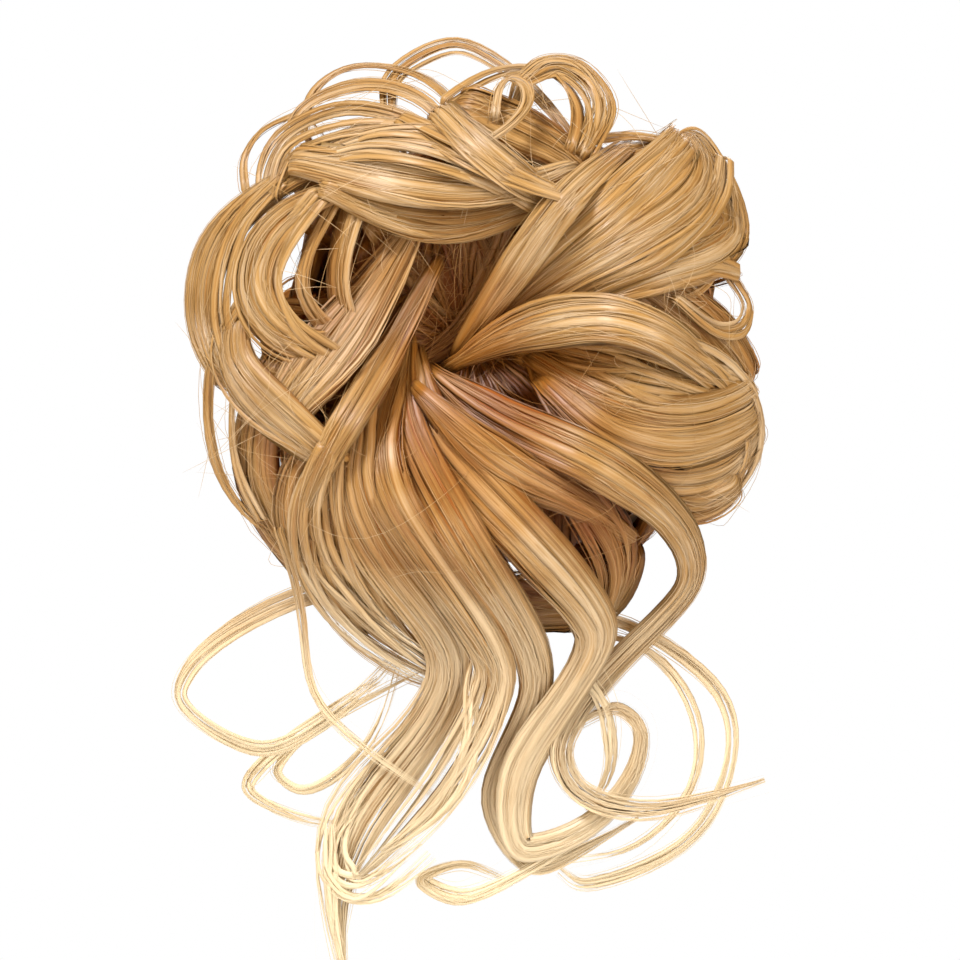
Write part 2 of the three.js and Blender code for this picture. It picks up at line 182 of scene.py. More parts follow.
# The mass in section, from its front to its back: spread is 0 at the weft and 1 at the rim
mass_rows = [
    dict(spread=0.02, out=0.62),
    dict(spread=0.3, out=0.7),
    dict(spread=0.62, out=0.7),
    dict(spread=0.88, out=0.59),
    dict(spread=1, out=0.42),
    dict(spread=0.94, out=0.24),
    dict(spread=0.7, out=0.11),
    dict(spread=0.35, out=0.06),
]
mass_back = 0.06

# A curl at the back: swirl is a share of its whole turn, and wide a share of its width
back_curl_rows = [
    dict(spread=0.06, out=0.06, swirl=-0.12, wide=0.3),
    dict(spread=0.55, out=0.055, swirl=0.15, wide=0.95),
    dict(spread=0.92, out=0.15, swirl=0.4, wide=1),
    dict(spread=1.04, out=0.38, swirl=0.7, wide=0.8),
    dict(spread=0.96, out=0.62, swirl=1, wide=0.4),
]

# Each curl is one lock or a few that run together. A lock passes the places across and up, in hundredths
# of the reach. Spread along it are its lift, in layers above the dome, and its width, in hundredths of the
# reach. A few rows bend or end a little differently from their solids, where the strands show it better.
curls = {
    "hollow_left_lock": [
        dict(across=[-37, -42, -43, -38], up=[52, 34, 16, 1], lift=[-2, -1, -2], wide=[4, 7, 4]),
    ],
    "hollow_right_lock": [
        dict(across=[3, 10, 6, -5, -16], up=[40, 27, 13, 1, -6], lift=[-4, -1, -2.2], wide=[4, 9, 4]),
    ],
    "left_rim_curl": [
        dict(
            across=[-48, -74, -88, -93, -91, -80], up=[60, 50, 36, 18, 2, -14], lift=[-2],
            wide=[4, 7, 4], rooted="both",
        ),
    ],
    "left_rim_fold": [
        dict(
            across=[-44, -63, -77, -85, -87, -80], up=[60, 53, 42, 28, 12, -8], lift=[-1],
            wide=[5, 11, 5], rooted="both",
        ),
    ],
    "left_ring_curl": [
        dict(
            across=[-36, -55, -68, -71, -64, -51, -36], up=[52, 46, 33, 18, 5, -1, 3], lift=[0],
            wide=[6, 14, 12, 6],
        ),
    ],
    "left_under_locks": [
        dict(
            across=[-62, -70, -70, -62, -48], up=[-8, -28, -46, -62, -77], lift=[-2], wide=[9, 16, 10],
            rooted="both",
        ),
        dict(
            across=[-46, -56, -57, -48, -33], up=[-30, -46, -62, -78, -92], lift=[-1], wide=[9, 16, 7],
            rooted="both",
        ),
    ],
    "left_long_loop": [
        dict(
            across=[-72, -83, -87, -83, -70, -50], up=[18, 2, -20, -44, -61, -70], lift=[0, -1],
            wide=[3, 4, 3],
        ),
    ],
    "left_fan": [
        dict(
            across=[-19, -28, -39, -50, -62], up=[36, 22, 5, -9, -24], lift=[0, 0.4, 0], wide=[6, 21, 10],
            rooted="end",
        ),
    ],
    "left_fold": [
        dict(
            across=[-76, -77, -68, -56, -46], up=[8, -6, -19, -29, -37], lift=[-1.6, 0.6, 1],
            wide=[4, 13, 17, 11], rooted="start",
        ),
    ],
    "left_dart": [
        dict(
            across=[-13, -22, -31, -41, -50, -55], up=[22, 5, -12, -28, -44, -58], lift=[1, 2.6, 2.6, 0.2],
            wide=[4, 10, 9, 4],
        ),
    ],
    "lower_bowl_lock": [
        dict(
            across=[-22, 8, 42, 52], up=[-62, -86, -86, -70], lift=[-4, -3], wide=[7, 16, 9],
            rooted="both",
        ),
    ],
    "lower_right_lock": [
        dict(
            across=[28, 42, 50, 49, 43], up=[-40, -56, -70, -84, -96], lift=[-1, -2], wide=[9, 16, 6],
            rooted="start",
        ),
    ],
    "right_arc_tendril": [
        dict(
            across=[24, 52, 85, 90, 76, 38, 31], up=[-88, -92, -115, -136, -166, -181, -176],
            lift=[-3, -2], wide=[5, 6, 5, 3],
        ),
    ],
    "left_great_loop": [
        dict(
            across=[-30, -56, -92, -97, -69, -34, -20], up=[-80, -83, -104, -119, -136, -115, -98],
            lift=[-3, -1, 0, -3], wide=[4, 7, 8, 4], rooted="start",
        ),
    ],
    "left_low_loop": [
        dict(
            across=[-30, -60, -74, -57, -38], up=[-112, -131, -148, -159, -162], lift=[-2],
            wide=[3, 5, 3],
        ),
    ],
    "left_thin_tendril": [
        dict(
            across=[-63, -56, -53, -41, -9], up=[-62, -84, -114, -130, -152], lift=[0, 2],
            wide=[3, 3, 2],
        ),
    ],
    "first_tendril": [
        dict(
            across=[-34, -39, -32, -6, -9, -38, -44, -41],
            up=[-20, -44, -66, -102, -121, -160, -190, -213], lift=[0],
            wide=[7, 16, 16, 14, 14, 18, 7, 3],
        ),
    ],
    "second_tendril": [
        dict(
            across=[-22, -29, -25, 2, 10, -7, -36], up=[-8, -31, -52, -92, -110, -147, -177],
            lift=[0, 0, 1, 1, 2, 3, 2], wide=[6, 13, 15, 14, 12, 14, 5],
        ),
    ],
    "third_tendril": [
        dict(
            across=[-20, -22, -3, 21, 23, 8, 22, 57], up=[-4, -24, -62, -100, -117, -152, -175, -158],
            lift=[0, 1, 1, 0, 0], wide=[5, 12, 15, 12, 10, 8, 6, 0.8],
        ),
    ],
    "low_loop_tendril": [
        dict(
            across=[36, 17, -3, -15, -2, 12], up=[-166, -178, -186, -179, -173, -179],
            lift=[1, 1, 0, -1], wide=[3, 5, 4, 2],
        ),
    ],
    "fourth_tendril": [
        dict(
            across=[-16, -12, 20, 43, 38, 16, 18, 42, 57, 58, 49, 37],
            up=[-8, -29, -65, -95, -110, -143, -168, -161, -142, -127, -120, -126], lift=[1, 2, 1, 0],
            wide=[5, 14, 17, 13, 10, 11, 8, 6, 5, 4, 3, 2],
        ),
    ],
    "inner_curl_tendril": [
        dict(across=[36, 47, 48, 40], up=[-108, -122, -142, -156], lift=[1.4, 0, -1], wide=[3, 5, 3]),
    ],
    "under_ribbon_lock": [
        dict(across=[22, 29, 41, 56], up=[4, -12, -27, -42], lift=[-2, -1, -1], wide=[7, 15, 10]),
    ],
    "right_back_lock": [
        dict(across=[48, 66, 82, 91], up=[24, 16, 4, -12], lift=[-1, -2], wide=[9, 18, 10], rooted="end"),
    ],
    "right_low_curl": [
        dict(across=[44, 60, 76, 88], up=[-36, -49, -53, -46], lift=[-1], wide=[8, 14, 8], rooted="end"),
        dict(
            across=[36, 54, 71, 86, 95], up=[-25, -41, -45, -40, -28], lift=[0, -1], wide=[8, 14, 8],
            rooted="end",
        ),
    ],
    "right_high_curl": [
        dict(
            across=[28, 45, 62, 79, 94], up=[-14, -28, -34, -33, -24], lift=[1, 1, 0], wide=[7, 14, 9],
            rooted="end",
        ),
        dict(
            across=[24, 44, 62, 80, 93], up=[-6, -18, -23, -22, -14], lift=[1, 1, 0], wide=[6, 11, 8],
            rooted="end",
        ),
    ],
    "fifth_tendril": [
        dict(
            across=[-9, 7, 44, 71, 74, 39, 30, 37, 61, 99],
            up=[-11, -23, -40, -61, -80, -117, -136, -150, -156, -145], lift=[1, 2, 2, 0, 0, 2, 2, 2],
            wide=[5, 14, 16, 11, 9, 9, 8, 7, 6, 0.8],
        ),
    ],
    "centre_lock": [
        dict(
            across=[-14, 1, 17, 36, 54], up=[-18, -33, -44, -52, -64], lift=[3, 3, 0, -1.5],
            wide=[5, 15, 12, 4],
        ),
    ],
    "ear_loop": [
        dict(across=[80, 93, 91, 82, 70], up=[32, 14, 6, 5, 14], lift=[-1, 0, 0], wide=[3, 5, 6, 3]),
    ],
    "right_fan_low": [
        dict(
            across=[18, 41, 61, 79, 87, 83], up=[8, 16, 24, 30, 38, 49], lift=[0, 0, -2],
            wide=[6, 16, 6], rooted="end",
        ),
    ],
    "right_fan": [
        dict(
            across=[12, 36, 56, 72, 77, 72], up=[8, 24, 36, 47, 59, 68], lift=[1, 1, -1],
            wide=[6, 18, 6], rooted="end",
        ),
        dict(
            across=[9, 27, 45, 59, 71], up=[9, 27, 41, 54, 67], lift=[1, 1, 0], wide=[6, 16, 7],
            rooted="end",
        ),
    ],
    "right_rim_arch": [
        dict(
            across=[68, 77, 92, 93, 84], up=[66, 70, 48, 35, 24], lift=[-1], wide=[4, 6, 4],
            rooted="start",
        ),
    ],
    "bridge_wisp": [
        dict(across=[30, 49, 60, 70], up=[56, 63, 65, 70], lift=[-1, -2], wide=[4, 7, 4]),
    ],
    "fan_inner": [
        dict(
            across=[-1, 10, 21, 32, 44, 54], up=[1, 16, 32, 46, 58, 66], lift=[1, 3, 2.4, -2.6],
            wide=[4, 12, 9, 5],
        ),
    ],
    "right_ribbon": [
        dict(
            across=[-2, 12, 29, 46, 62, 76, 86], up=[-5, 3, 7, 8, 3, -6, -16], lift=[2, 4, 4, 2.6, -2.2],
            wide=[3, 15, 14, 9, 4], rooted="end",
        ),
    ],
    "high_arch": [
        dict(
            across=[-26, -25, -4, 19, 35], up=[76, 90, 101, 88, 66], lift=[-3, -2, -2, -3],
            wide=[4, 6, 6, 4], rooted="both",
        ),
    ],
    "left_high_arch": [
        dict(
            across=[-60, -56, -34, -13, -5], up=[56, 78, 87, 80, 67], lift=[-2, -1, -2], wide=[4, 5, 4],
            rooted="both",
        ),
    ],
    "left_low_arch": [
        dict(
            across=[-67, -63, -42, -18, -5], up=[50, 68, 79, 74, 65], lift=[-1, 0, -1], wide=[4, 7, 4],
            rooted="both",
        ),
    ],
    "crown_right_lock": [
        dict(across=[-2, 17, 34, 47], up=[78, 70, 62, 48], lift=[-1], wide=[7, 17, 9], rooted="start"),
    ],
    "broad_arch": [
        dict(across=[-64, -59, -38, -13, -3], up=[50, 63, 72, 71, 66], lift=[0, 1, 0], wide=[5, 9, 5]),
    ],
    "crown_sweep": [
        dict(
            across=[-57, -39, -20, 0, 17, 32], up=[60, 57, 53, 50, 51, 57], lift=[0, 2, 1],
            wide=[6, 16, 6], rooted="start",
        ),
    ],
    "crown_under_sweep": [
        dict(across=[-46, -29, -11, 8, 24], up=[50, 42, 38, 40, 46], lift=[1, 1, 0], wide=[5, 12, 7]),
    ],
    "crown_diagonal": [
        dict(
            across=[-9, 0, 11, 22, 33], up=[76, 67, 58, 51, 45], lift=[1, 3, 2.4, -1.8], wide=[6, 11, 5],
            rooted="start",
        ),
    ],
    "upper_curl": [
        dict(
            across=[20, 29, 38, 41, 37], up=[87, 91, 85, 75, 63], lift=[1, 1, 0], wide=[5, 13, 6],
            rooted="end",
        ),
        dict(
            across=[17, 25, 37, 46, 39], up=[87, 94, 93, 80, 63], lift=[1, 1, 0], wide=[5, 8, 5],
            rooted="end",
        ),
    ],
    "hook_curl": [
        dict(
            across=[9, 10, 14, 19, 20, 14, 3], up=[76, 84, 88, 86, 79, 71, 64], lift=[1, 3, 3],
            wide=[2, 3, 2],
        ),
    ],
}

# Loose wisps that are too thin for a solid of their own, in the same terms. Each has its bundles of strands,
# or is closed as a curl is.
wisps = {
    "side_loop_wisp": dict(
        across=[-74, -75, -69, -57], up=[52, 62, 72, 77], lift=[-2], wide=[2.5], bundles=2,
    ),
    "rim_arch_wisp": dict(
        across=[74, 83, 89, 89, 85, 79, 71], up=[68, 63, 52, 40, 30, 18, 14], lift=[-1], wide=[3],
        bundles=2,
    ),
    "high_arch_wisp": dict(
        across=[-7, 2, 14, 26, 35, 37], up=[81, 88, 92, 91, 83, 72], lift=[-1], wide=[3], bundles=2,
    ),
    "bridge_fine_wisp": dict(across=[43, 54, 65], up=[68, 70, 68], lift=[-1], wide=[3], bundles=2),
    "great_loop_wisp": dict(
        across=[-16, -39, -59, -64, -56, -41, -28, -23], up=[-109, -120, -133, -143, -149, -143, -127, -108],
        lift=[-2], wide=[3], bundles=2,
    ),
    "left_arch_wisp": dict(
        across=[-55, -52, -41, -25, -11, -3], up=[73, 85, 93, 93, 87, 78], lift=[-2], wide=[3], bundles=2,
    ),
    "right_arc_wisp": dict(
        across=[34, 54, 69, 78, 77, 68, 52, 34], up=[-95, -98, -109, -127, -145, -160, -171, -173],
        lift=[-2], wide=[3], bundles=2,
    ),
    "left_side_wisp": dict(
        across=[-76, -77, -79, -76, -69], up=[0, -17, -32, -47, -58], lift=[0], wide=[3], bundles=2,
    ),
    "right_loop_wisp": dict(
        across=[49, 62, 77, 90, 95], up=[0, -4, -10, -12, -18], lift=[1], wide=[4, 5, 3], bundles=3,
    ),
    "under_ribbon_wisp": dict(across=[51, 61, 71], up=[0, -13, -22], lift=[0], wide=[8], bundles=3),
    "ring_inner_wisp": dict(
        across=[-50, -62, -66, -58, -46], up=[48, 33, 18, 3, -4], lift=[1, 0.4, 1], wide=[7, 9, 7], bundles=4,
    ),
    "ring_middle_wisp": dict(
        across=[-44, -52, -55, -48, -36], up=[46, 32, 18, 6, 0], lift=[0, -0.5, 0], wide=[4, 5, 4], bundles=3,
    ),
    "ring_right_wisp": dict(
        across=[-36, -41, -42, -38, -34], up=[45, 31, 18, 6, -4], lift=[0.5], wide=[4, 5, 4], bundles=3,
    ),
    "ring_bridge_wisp": dict(
        across=[-72, -62, -50, -40], up=[10, 13, 12, 15], lift=[-3], wide=[3], bundles=2,
    ),
    "left_veil_wisp": dict(
        across=[-62, -75, -82, -83, -76], up=[54, 42, 25, 6, -10], lift=[0], wide=[6, 9, 6], bundles=4,
    ),
    "crown_cover_wisp": dict(
        across=[-55, -40, -22, -3, 13, 26], up=[58, 65, 66, 62, 55, 45], lift=[0, 2.4, 1],
        wide=[8, 16, 9], bundles=8,
    ),
    "crown_upper_wisp": dict(
        across=[-48, -34, -17, -1, 12], up=[64, 71, 71, 66, 60], lift=[0, 1.4, 0.5], wide=[5, 9, 6],
        bundles=5,
    ),
    "crown_crossing_wisp": dict(
        across=[-22, -9, 4, 18, 30], up=[74, 66, 60, 53, 49], lift=[1, 3.4, 3], wide=[4, 8, 5], bundles=4,
    ),
    "fan_edge_wisp": dict(
        across=[22, 42, 60, 74, 84, 85], up=[9, 21, 29, 40, 52, 62], lift=[1, 1.6, 0], wide=[5, 10, 6],
        bundles=5,
    ),
    "fan_lower_wisp": dict(
        across=[30, 47, 64, 80, 90], up=[12, 18, 22, 27, 24], lift=[0.6, 0.6, 0], wide=[5, 9, 6], bundles=4,
    ),
    "neck_left_wisp": dict(
        across=[-47, -53, -54, -49, -39, -25, -9], up=[-37, -50, -64, -79, -92, -103, -112],
        lift=[2, 1.2, 0.6, 0.8, 0], wide=[7, 11, 14, 13, 9], bundles=9,
    ),
    "neck_inner_wisp": dict(
        across=[-44, -46, -43, -34, -20], up=[-36, -52, -68, -84, -98], lift=[1.6, 0.6, 0.4], wide=[6, 10, 9],
        bundles=6,
    ),
    "neck_shade_wisp": dict(
        across=[-44, -48, -48, -41, -30, -17, -7], up=[-42, -57, -72, -86, -98, -106, -112],
        lift=[-0.4, -0.6, -0.4], wide=[8, 15, 15, 12, 6], closed=True,
    ),
    "neck_gap_wisp": dict(
        across=[-36, -40, -37, -29, -19, -8], up=[-42, -57, -72, -86, -98, -108], lift=[-0.9],
        wide=[8, 14, 14, 12, 6], closed=True,
    ),
    "ribbon_shade_wisp": dict(
        across=[20, 34, 50, 66, 82], up=[-4, -9, -13, -17, -18], lift=[-1.2, -0.4, -1], wide=[7, 11, 8],
        closed=True,
    ),
    "left_gap_wisp": dict(
        across=[-21, -31, -41, -50], up=[10, -9, -24, -37], lift=[0.2], wide=[8, 11, 8], bundles=6,
    ),
    "fold_wisp": dict(
        across=[-26, -37, -45, -46, -39, -28, -15], up=[-138, -151, -163, -175, -182, -179, -167],
        lift=[-0.6, -0.3, 1, 2, 3.2], wide=[8, 10, 9, 11, 12, 10], bundles=10,
    ),
    "fold_front_wisp": dict(
        across=[-29, -14, -3, 1, 0, 3, 8], up=[-169, -160, -146, -130, -117, -105, -92],
        lift=[3, 3.2, 3, 2, -1], wide=[2, 5, 6, 4, 2], bundles=4, tone=-0.2,
    ),
    "tip_wisp": dict(
        across=[-46, -47, -46, -44, -41], up=[-160, -175, -188, -200, -212], lift=[1], wide=[3, 4, 3, 2],
        bundles=3,
    ),
    "right_gap_wisp": dict(
        across=[22, 38, 56, 74, 88], up=[-2, -6, -9, -13, -12], lift=[0.4, 1, 0], wide=[6, 10, 7], bundles=6,
    ),
    "right_gap_low_wisp": dict(
        across=[28, 42, 58, 76, 90], up=[-3, -8, -14, -19, -20], lift=[0.2, 1.1, 0], wide=[7, 12, 8],
        bundles=7,
    ),
    "right_cover_wisp": dict(
        across=[46, 62, 77, 89, 95, 93, 82], up=[3, 0, -5, -15, -29, -43, -56], lift=[2.5, 2.5, 0.6, 0, -3],
        wide=[4, 8, 9, 7, 5], bundles=6,
    ),
    "hollow_cross_wisp": dict(
        across=[-30, -21, -10, 2, 12], up=[38, 28, 18, 8, 2], lift=[-2, -3, -2], wide=[5, 8, 5], bundles=4,
    ),
    "hollow_fall_wisp": dict(
        across=[14, 12, 6, 1, -3], up=[42, 31, 20, 10, 0], lift=[-2, -1.4, -1], wide=[4, 6, 4], bundles=3,
    ),
}

# Thin curls that air shows through, and the bundles of strands in each
open_curls = {
    "left_rim_curl": 5,
    "left_long_loop": 3,
    "right_arc_tendril": 5,
    "left_great_loop": 6,
    "left_low_loop": 4,
    "left_thin_tendril": 3,
    "low_loop_tendril": 4,
    "inner_curl_tendril": 4,
    "ear_loop": 4,
    "right_rim_arch": 5,
    "bridge_wisp": 5,
    "high_arch": 5,
    "left_high_arch": 4,
    "left_low_arch": 6,
    "broad_arch": 7,
    "hook_curl": 4,
    "upper_curl": 8,
}

# Locks that others mostly cover have only this share of the bands and strands
half_hidden = {"lower_bowl_lock": 0.6, "left_under_locks": 0.7, "right_fan_low": 0.8}

# How much darker the locks are that lie in shade
in_shade = {
    "crown_right_lock": 0.2,
    "hollow_left_lock": 0.05,
    "hollow_right_lock": 0.05,
    "lower_bowl_lock": 0.15,
    "lower_right_lock": 0.12,
    "left_under_locks": 0.1,
    "under_ribbon_lock": 0.12,
    "right_back_lock": 0.12,
    "crown_under_sweep": 0.08,
    "neck_shade_wisp": 0.1,
    "neck_gap_wisp": 0.1,
    "ribbon_shade_wisp": 0.12,
}


def hermite(part, start, end, leave, arrive):
    """A cubic from start to end with these slopes at its ends."""
    return (
        (2 * start - 2 * end + leave + arrive) * part**3
        + (3 * end - 3 * start - 2 * leave - arrive) * part**2
        + leave * part
        + start
    )


def spread_along(values, shares):
    """Smooth values at shares of the way along evenly spread ones."""
    values = np.array(values, float)
    if len(values) == 1:
        return np.full(len(shares), values[0])
    at = np.array(shares) * (len(values) - 1)
    low = np.minimum(at.astype(int), len(values) - 2)
    before = values[np.maximum(low - 1, 0)]
    start, end = values[low], values[low + 1]
    after = values[np.minimum(low + 2, len(values) - 1)]
    return hermite(at - low, start, end, (end - before) / 2, (after - start) / 2)


def along_route(places, shares):
    """Points on the smooth curve through places, at shares of its spans."""
    first, last = 2 * places[0] - places[1], 2 * places[-1] - places[-2]
    padded = np.vstack([first, places, last])
    at = np.clip(shares, 0, 1) * (len(places) - 1)
    low = np.minimum(at.astype(int), len(places) - 2)
    near = [padded[low + i] for i in range(4)]
    spans = [np.sqrt(np.linalg.norm(near[i + 1] - near[i], axis=1, keepdims=True)) for i in range(3)]
    before, after = (near[1] - near[0]) / spans[0], (near[3] - near[2]) / spans[2]
    inner = (near[2] - near[1]) / spans[1]
    leave = before - (near[2] - near[0]) / (spans[0] + spans[1]) + inner
    arrive = inner - (near[3] - near[1]) / (spans[1] + spans[2]) + after
    return hermite((at - low)[:, None], near[1], near[2], leave * spans[1], arrive * spans[1])


def unit(vectors):
    return vectors / np.maximum(np.linalg.norm(vectors, axis=-1, keepdims=True), 1e-12)


def across_only(vectors, tangents):
    """The part of each vector that is square to its tangent, at length 1."""
    return unit(vectors - tangents * np.sum(vectors * tangents, axis=-1, keepdims=True))


def round_axis(radius, out, angle):
    """A point at an angle round the tie's axis."""
    return np.stack([radius * np.cos(angle), -out + 0 * angle, radius * np.sin(angle)], axis=-1)


def mass_rim(angle):
    return mass_reach + mass_lean * np.cos(angle - mass_lean_angle)


def facing_out(places):
    """The way that a lock's broad side faces: out from the bun's middle, and to the front in the tendrils."""
    hanging = np.clip(-places[:, 2] / reach - hang_from, 0, 1)
    sideways = np.clip(places[:, 0] / reach, -1, 1)
    upwards = np.clip(places[:, 2] / reach, -1, 1) * (1 - hanging)
    return unit(np.stack([sideways, np.full(len(places), -1.0), upwards], axis=1))


def facing_round(places):
    """The way that a curl's broad side faces where it goes round the mass."""
    angle = np.arctan2(places[:, 2], places[:, 0])
    core = round_axis((seat_inside + mass_rim(angle)) / 2, root_out * bun_depth, angle)
    return places - core


class Lock:
    """A lock's form: its middle line, the ways it is broad and deep, and its width and thickness along it."""

    def __init__(self, places, widths, facing, rooted=(0, -1)):
        places = np.array(places)
        spans = len(places) - 1
        steps = round(spans * steps_per_span)
        shares = np.arange(steps + 1) / steps
        middles = along_route(places, shares)
        tangents = self.tangents(places, shares)
        sides = self.sides(middles, tangents, facing(middles))
        widths = self.limited(spread_along(widths, shares), middles, tangents, sides)
        fine = self.evened(places)
        self.middle = self.rounded(along_route(places, fine))
        self.tangent = self.tangents(places, fine)
        side = np.stack([np.interp(fine, shares, sides[:, i]) for i in range(3)], axis=1)
        self.side = across_only(side, self.tangent)
        self.normal = np.cross(self.tangent, self.side)
        self.width = np.maximum(spread_along(widths, fine), 0)
        self.thickness = tip_thickness + plumpness * self.width
        for end in (0, -1):
            if end not in rooted:
                self.dive(end)
        self.tangent = unit(np.gradient(self.middle, axis=0))
        self.side = across_only(self.side, self.tangent)
        self.normal = np.cross(self.tangent, self.side)
        self.shares = np.linspace(0, 1, len(self.middle))
        fallen = (-self.middle[:, 2] / reach - hang_from) * reach / tendril_fall
        self.hanging = np.clip(fallen, 0, 1) ** tip_onset
        self.tipped = self.free(-1)
        self.sinks = [end not in rooted and not self.free(end) for end in (0, -1)]
        self.gather = np.ones(len(self.middle))
        if self.tipped:
            spread = np.clip((1 - self.shares) / gather_length, 0, 1) ** 0.5
            self.gather = tip_gather + (1 - tip_gather) * spread

    def free(self, end):
        """Whether the lock ends in a tip of its own, among the tendrils."""
        return -self.middle[end][2] / reach > hang_from

    def dive(self, end):
        """Leads an end that isn't rooted down between the other locks, unless it is a tip."""
        if self.free(end):
            return
        place = self.middle[end]
        outer = min(max(math.hypot(place[0], place[2]) / reach - dive_edge, 0) / dive_edge_span, 1)
        onward = self.tangent[end] * (1 if end else -1) * dive_length * (1 - dive_shortened * outer)
        inward = 1 - dive_inward * outer
        parts = np.linspace(0, 1, dive_rings + 1)[1:, None]
        bend = place + onward * dive_bend
        target = (place + onward) * (inward, 1, inward) + (0, dive_depth, 0)
        if math.hypot(target[0], target[2]) < tie_outside:
            target[1] = min(target[1], -pocket_depth - pocket_roof / 2)
        added = (1 - parts) ** 2 * place + 2 * parts * (1 - parts) * bend + parts**2 * target
        width = self.width[end] * np.linspace(1, dive_end, dive_rings + 1)[1:]
        side = np.repeat(self.side[end][None], dive_rings, axis=0)
        self.middle = self.joined(self.middle, added, end)
        self.side = self.joined(self.side, side, end)
        self.width = self.joined(self.width, width, end)
        self.thickness = tip_thickness + plumpness * self.width

    @staticmethod
    def joined(values, added, end):
        return np.concatenate([values, added]) if end else np.concatenate([added[::-1], values])

    @staticmethod
    def tangents(places, shares):
        nudge = 1e-4
        return unit(along_route(places, shares + nudge) - along_route(places, shares - nudge))

    @staticmethod
    def sides(middles, tangents, facings):
        last = len(middles) - 1
        start = last // 2
        sides = np.zeros_like(middles)
        for way in (-1, 1):
            step = start
            while 0 <= step <= last:
                side = np.cross(facings[step] / np.linalg.norm(facings[step]), tangents[step])
                if step != start:
                    side = side + sides[step - way]
                sides[step] = across_only(side, tangents[step])
                step += way
        return sides

    @staticmethod
    def limited(widths, middles, tangents, sides):
        """Widths, narrower where the lock bends hard edgewise."""
        limited = widths.copy()
        for step in range(len(widths)):
            for near in (step - 1, step + 1):
                if 0 <= near < len(widths):
                    bend = abs(tangents[near] @ sides[step])
                    span = np.linalg.norm(middles[step] - middles[near])
                    limited[step] = min(limited[step], edge_bend * span / max(bend, 1e-6))
        return limited

    @staticmethod
    def rounded(middles):
        """The middle line with its tight corners rounded off."""
        middles = middles.copy()
        for _ in range(rounding_passes):
            middles[1:-1] = middles[1:-1] / 2 + (middles[:-2] + middles[2:]) / 4
        return middles

    @staticmethod
    def evened(places):
        """Shares that are closer where the route bends."""
        dense = np.linspace(0, 1, 400)
        points = along_route(places, dense)
        steps = np.diff(points, axis=0)
        lengths = np.linalg.norm(steps, axis=1)
        turns = np.linalg.norm(np.diff(unit(steps), axis=0), axis=1)
        weights = lengths / ring_step + np.append(turns, 0) * rings_per_radian
        total = np.append(0, np.cumsum(weights))
        count = max(8, math.ceil(total[-1]) + 1)
        return np.interp(np.linspace(0, total[-1], count), total, dense)


def places_of(across, up, lift, rooted):
    """Where a lock passes, on the dome of curls or in the tendrils below it."""
    across, up = np.array(across) * PERCENT, np.array(up) * PERCENT
    hung = np.maximum(0, -up - hang_from)
    out = np.interp(np.hypot(across, up), [row["at"] for row in dome_rows], [row["out"] for row in dome_rows])
    lifts = spread_along(lift, np.linspace(0, 1, len(across)))
    places = np.stack(
        [
            across * reach,
            -out * bun_depth - lifts * layer_rise,
            (up + hung) * reach - hung / hang_span * tendril_fall,
        ],
        axis=1,
    )
    rows = list(places)
    if rooted in ("start", "both"):
        rows.insert(0, root_of(places[0]))
    if rooted in ("end", "both"):
        rows.append(root_of(places[-1]))
    return rows


def root_of(place):
    angle = np.arctan2(place[2], place[0])
    return round_axis(mass_rim(angle), root_out * bun_depth, angle)


def curl_lock(row):
    rooted = row.get("rooted", "")
    ends = {"": (), "start": (0,), "end": (-1,), "both": (0, -1)}[rooted]
    places = places_of(row["across"], row["up"], row["lift"], rooted)
    return Lock(places, np.array(row["wide"]) * PERCENT * reach, facing_out, ends)


def back_curl_lock(start):
    places = []
    for row in back_curl_rows:
        angle = start + row["swirl"] * back_curl_swirl
        thickness = tip_thickness + plumpness * back_curl_width
        radius = seat_inside + (mass_rim(angle) + thickness - seat_inside) * row["spread"]
        places.append(round_axis(radius, row["out"] * bun_depth, angle))
    widths = [row["wide"] * back_curl_width for row in back_curl_rows]
    return Lock(places, widths, facing_round)


def below_hub(points):
    """Where the hair lies in the shade below the hub, from 0 to 1."""
    aside = (points[:, 0] / reach - lower_shade["across"]) / lower_shade["wide"]
    below = (points[:, 2] / reach - lower_shade["up"]) / lower_shade["high"]
    return np.clip(lower_edge - np.hypot(aside, below), 0, 1)


def depth_inside(points):
    """How deep places lie in the bun, from 0 at its outer curls to 1 in its hollow and under its locks."""
    across, back, up = points.T
    from_middle, angle = np.hypot(across, up), np.arctan2(up, across)
    lid = np.maximum.accumulate([row["out"] for row in dome_rows][::-1])[::-1]
    front = np.interp(from_middle / reach, [row["at"] for row in dome_rows], lid) * bun_depth + back
    front = front + lid_rise * np.clip((1 - from_middle / reach) / lid_edge, 0, 1)
    front = front + lower_rise * below_hub(points)
    inside = np.minimum(np.minimum(front, mass_rim(angle) + rim_cover - from_middle), back_cover - back)
    return np.clip(inside / full_depth, 0, 1)


